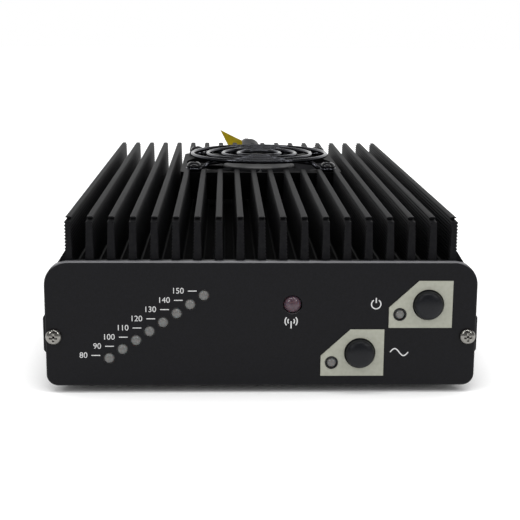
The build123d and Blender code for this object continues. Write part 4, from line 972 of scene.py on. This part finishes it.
def makeGuardTree():
    tree, add, size = newTree("fingerGuard", guardSizes)
    index = add("GeometryNodeInputIndex")

    # Rings that grow smaller by an even step
    inset = add("ShaderNodeMath", {0: index, 1: size["Ring Step"]}, operation="MULTIPLY")
    radius = add("ShaderNodeMath", {0: size["Outer Ring"], 1: inset}, operation="SUBTRACT")
    level = add("ShaderNodeCombineXYZ", {"Z": size["Ring Height"]})
    pile = add("GeometryNodeMeshLine", {"Count": size["Ring Count"], "Start Location": level, "Offset": zero})
    circle = add("GeometryNodeCurvePrimitiveCircle", {"Resolution": 128, "Radius": 1.0})
    rings = add("GeometryNodeInstanceOnPoints", {"Points": pile, "Instance": circle, "Scale": radius})

    # One arm with its eyelet, then all round
    begin = add("ShaderNodeCombineXYZ", {"X": size["Arm Start"]})
    finish = add("ShaderNodeCombineXYZ", {"X": size["Arm End"]})
    line = add("GeometryNodeCurvePrimitiveLine", {"Start": begin, "End": finish})
    divided = add("GeometryNodeResampleCurve", {"Curve": line, "Count": 48})
    place = add("ShaderNodeSeparateXYZ", {0: add("GeometryNodeInputPosition")}).outputs
    height = add(
        "ShaderNodeMapRange",
        {
            "Value": place["X"],
            "From Min": size["Bend From"],
            "From Max": size["Bend To"],
            "To Min": size["Arm Height"],
            "To Max": size["Eyelet Height"],
        },
        interpolation_type="SMOOTHSTEP",
    )
    spot = add("ShaderNodeCombineXYZ", {"X": place["X"], "Z": height})
    bent = add("GeometryNodeSetPosition", {"Geometry": divided, "Position": spot})
    eye = size["Eyelet Radius"]
    loop = add("GeometryNodeCurvePrimitiveCircle", {"Resolution": 40, "Radius": eye})
    reach = add("ShaderNodeMath", {0: size["Arm End"], 1: eye}, operation="ADD")
    outside = add("ShaderNodeCombineXYZ", {"X": reach, "Z": size["Eyelet Height"]})
    eyelet = add("GeometryNodeTransform", {"Geometry": loop, "Translation": outside})
    arm = add("GeometryNodeJoinGeometry", {"Geometry": [bent, eyelet]})
    hub = add("GeometryNodeMeshLine", {"Count": size["Arm Count"], "Offset": zero})
    share = add("ShaderNodeMath", {0: 2 * math.pi, 1: size["Arm Count"]}, operation="DIVIDE")
    angle = add("ShaderNodeMath", {0: index, 1: share, 2: size["First Arm"]}, operation="MULTIPLY_ADD")
    turn = add("ShaderNodeCombineXYZ", {"Z": angle})
    arms = add("GeometryNodeInstanceOnPoints", {"Points": hub, "Instance": arm, "Rotation": turn})

    together = add("GeometryNodeJoinGeometry", {"Geometry": [rings, arms]})
    real = add("GeometryNodeRealizeInstances", {"Geometry": together})
    section = add("GeometryNodeCurvePrimitiveCircle", {"Resolution": 20, "Radius": size["Wire"]})
    wire = add("GeometryNodeCurveToMesh", {"Curve": real, "Profile Curve": section, "Fill Caps": True})
    smooth = add("GeometryNodeSetShadeSmooth", {"Geometry": wire})
    moved = add("GeometryNodeTransform", {"Geometry": smooth, "Translation": size["Middle"]})
    return finishTree(tree, moved, size["Material"])


addPiece("guardWire", growMesh(makeGuardTree(), guardSizes), None, "case", "chrome_wire", "fan_guard")
print("guard bent")

makeNumbers()
makeSigns()
addPiece("levelTicks", growMesh(makeTickTree(), tickSizes), None, "case", "panel_black")
ringTree = makeRingTree()
addPiece("levelRings", growMesh(ringTree, ringSizes), None, "case", "component_black")
plateRings = {**ringSizes, "Count": 2, "Start": (39.4, -105.7, 23.4), "Step": (-19.3, 0.0, -14.25)}
plateRings.update({"Radius": 1.7, "Wire": 0.22})
addPiece("plateRings", growMesh(ringTree, plateRings), None, "case", "component_black")

# Threads of the two sockets: ridges at the pitch of a 24 per inch thread
threadSizes = {**ringSizes, "Count": 10, "Step": (0.0, 1.058, 0.0), "Radius": 7.7, "Wire": 0.34}
threadSizes["Material"] = nickelPlate
socketThreads = {"radioThread": (-40.0, 98.5, 20.4), "antennaThread": (40.0, 98.5, 20.4)}
for name, start in socketThreads.items():
    addPiece(name, growMesh(ringTree, {**threadSizes, "Start": start}), None, "case", "nickel")
print("panel printed")

# Stage: pale floor, white walls behind and a dark ceiling, with a soft lamp to each side and a strip above
stage = {
    "floorSize": 6.0,
    "floorColour": "#f6f6f6",
    "floorGlow": 0.35,  # seen by the camera only and held back in corners as a painted shadow, so the floor reads as white paper
    "cornerReach": 0.05,  # how far from the object the floor darkens
    "cornerShade": (0.4, 0.85),  # openness where the floor starts to glow and glows fully
    "lamps": (
        ("leftLamp", (-0.8, -0.55, 0.75), (0.2, 0.2), 1.5),
        ("rightLamp", (0.8, -0.55, 0.75), (0.2, 0.2), 1.5),
        ("stripLamp", (0.0, -0.25, 1.1), (1.3, 0.06), 3.5),
    ),
    "target": (0.0, 0.0, 0.03),
    "frontDark": (0.0, 0.7, 0.2),  # towards the camera side, in mirrors: from, to, and how white
    "wallTop": 0.35,  # sine of the height where the white walls start to darken
    "ceiling": 0.8,
    "ceilingWhite": 0.1,
    "matt": 0.86,  # even light on matt surfaces
}


def makeStage():
    half = stage["floorSize"] / 2
    floorMesh = bpy.data.meshes.new("floor")
    corners = [(-half, -half, 0), (half, -half, 0), (half, half, 0), (-half, half, 0)]
    floorMesh.from_pydata(corners, [], [(0, 1, 2, 3)])
    floor = newObject("floor", floorMesh)
    material, tree, shader = newMaterial(
        "paperFloor", Roughness=0.9, Specular_IOR_Level=0.0,
        Base_Color=linear(stage["floorColour"]), Emission_Color=(1, 1, 1, 1),
    )
    add = partial(addNode, tree)
    path = add("ShaderNodeLightPath")
    # Painted shadow: the floor's glow fades where the object hems the floor in
    openness = add("ShaderNodeAmbientOcclusion", {"Distance": stage["cornerReach"]}, samples=8)
    shut, clear = stage["cornerShade"]
    glow = add(
        "ShaderNodeMapRange",
        {"Value": openness.outputs["AO"], "From Min": shut, "From Max": clear, "To Max": stage["floorGlow"]},
        interpolation_type="SMOOTHSTEP",
    )
    glow = add("ShaderNodeMath", {0: path.outputs["Is Camera Ray"], 1: glow}, operation="MULTIPLY")
    tree.links.new(glow.outputs[0], shader.inputs["Emission Strength"])
    floorMesh.materials.append(material)

    world = bpy.data.worlds.new("studio")
    world.use_nodes = True
    scene.world = world
    tree = world.node_tree
    add = partial(addNode, tree)
    background = tree.nodes["Background"]
    background.inputs["Color"].default_value = (1, 1, 1, 1)
    path = add("ShaderNodeLightPath")
    direction = add("ShaderNodeTexCoord").outputs["Generated"]
    toward = add("ShaderNodeSeparateXYZ", {0: direction}).outputs
    walls = add(
        "ShaderNodeMapRange",
        {
            "Value": toward["Z"],
            "From Min": stage["wallTop"],
            "From Max": stage["ceiling"],
            "To Min": 1.0,
            "To Max": stage["ceilingWhite"],
        },
        interpolation_type="SMOOTHSTEP",
    )
    mirrored = add(
        "ShaderNodeMath",
        {0: path.outputs["Is Glossy Ray"], 1: path.outputs["Is Transmission Ray"]},
        operation="MAXIMUM",
    )
    dark, pale, least = stage["frontDark"]
    front = add(
        "ShaderNodeMapRange",
        {"Value": toward["Y"], "From Min": dark, "From Max": pale, "To Min": least, "To Max": 1.0},
        interpolation_type="SMOOTHSTEP",
    )
    walls = add("ShaderNodeMath", {0: walls, 1: front}, operation="MULTIPLY")
    strength = add("ShaderNodeMix", {0: mirrored, 2: stage["matt"], 3: walls}, data_type="FLOAT")
    strength = add("ShaderNodeMath", {0: strength, 1: path.outputs["Is Camera Ray"]}, operation="MAXIMUM")
    tree.links.new(strength.outputs[0], background.inputs["Strength"])

    for name, place, size, watts in stage["lamps"]:
        lamp = bpy.data.lights.new(name, "AREA")
        lamp.shape = "RECTANGLE"
        lamp.size, lamp.size_y = size
        lamp.energy = watts
        holder = newObject(name, lamp)
        holder.location = place
        holder.rotation_euler = (Vector(stage["target"]) - Vector(place)).to_track_quat("-Z", "Y").to_euler()


makeStage()
print("stage lit")
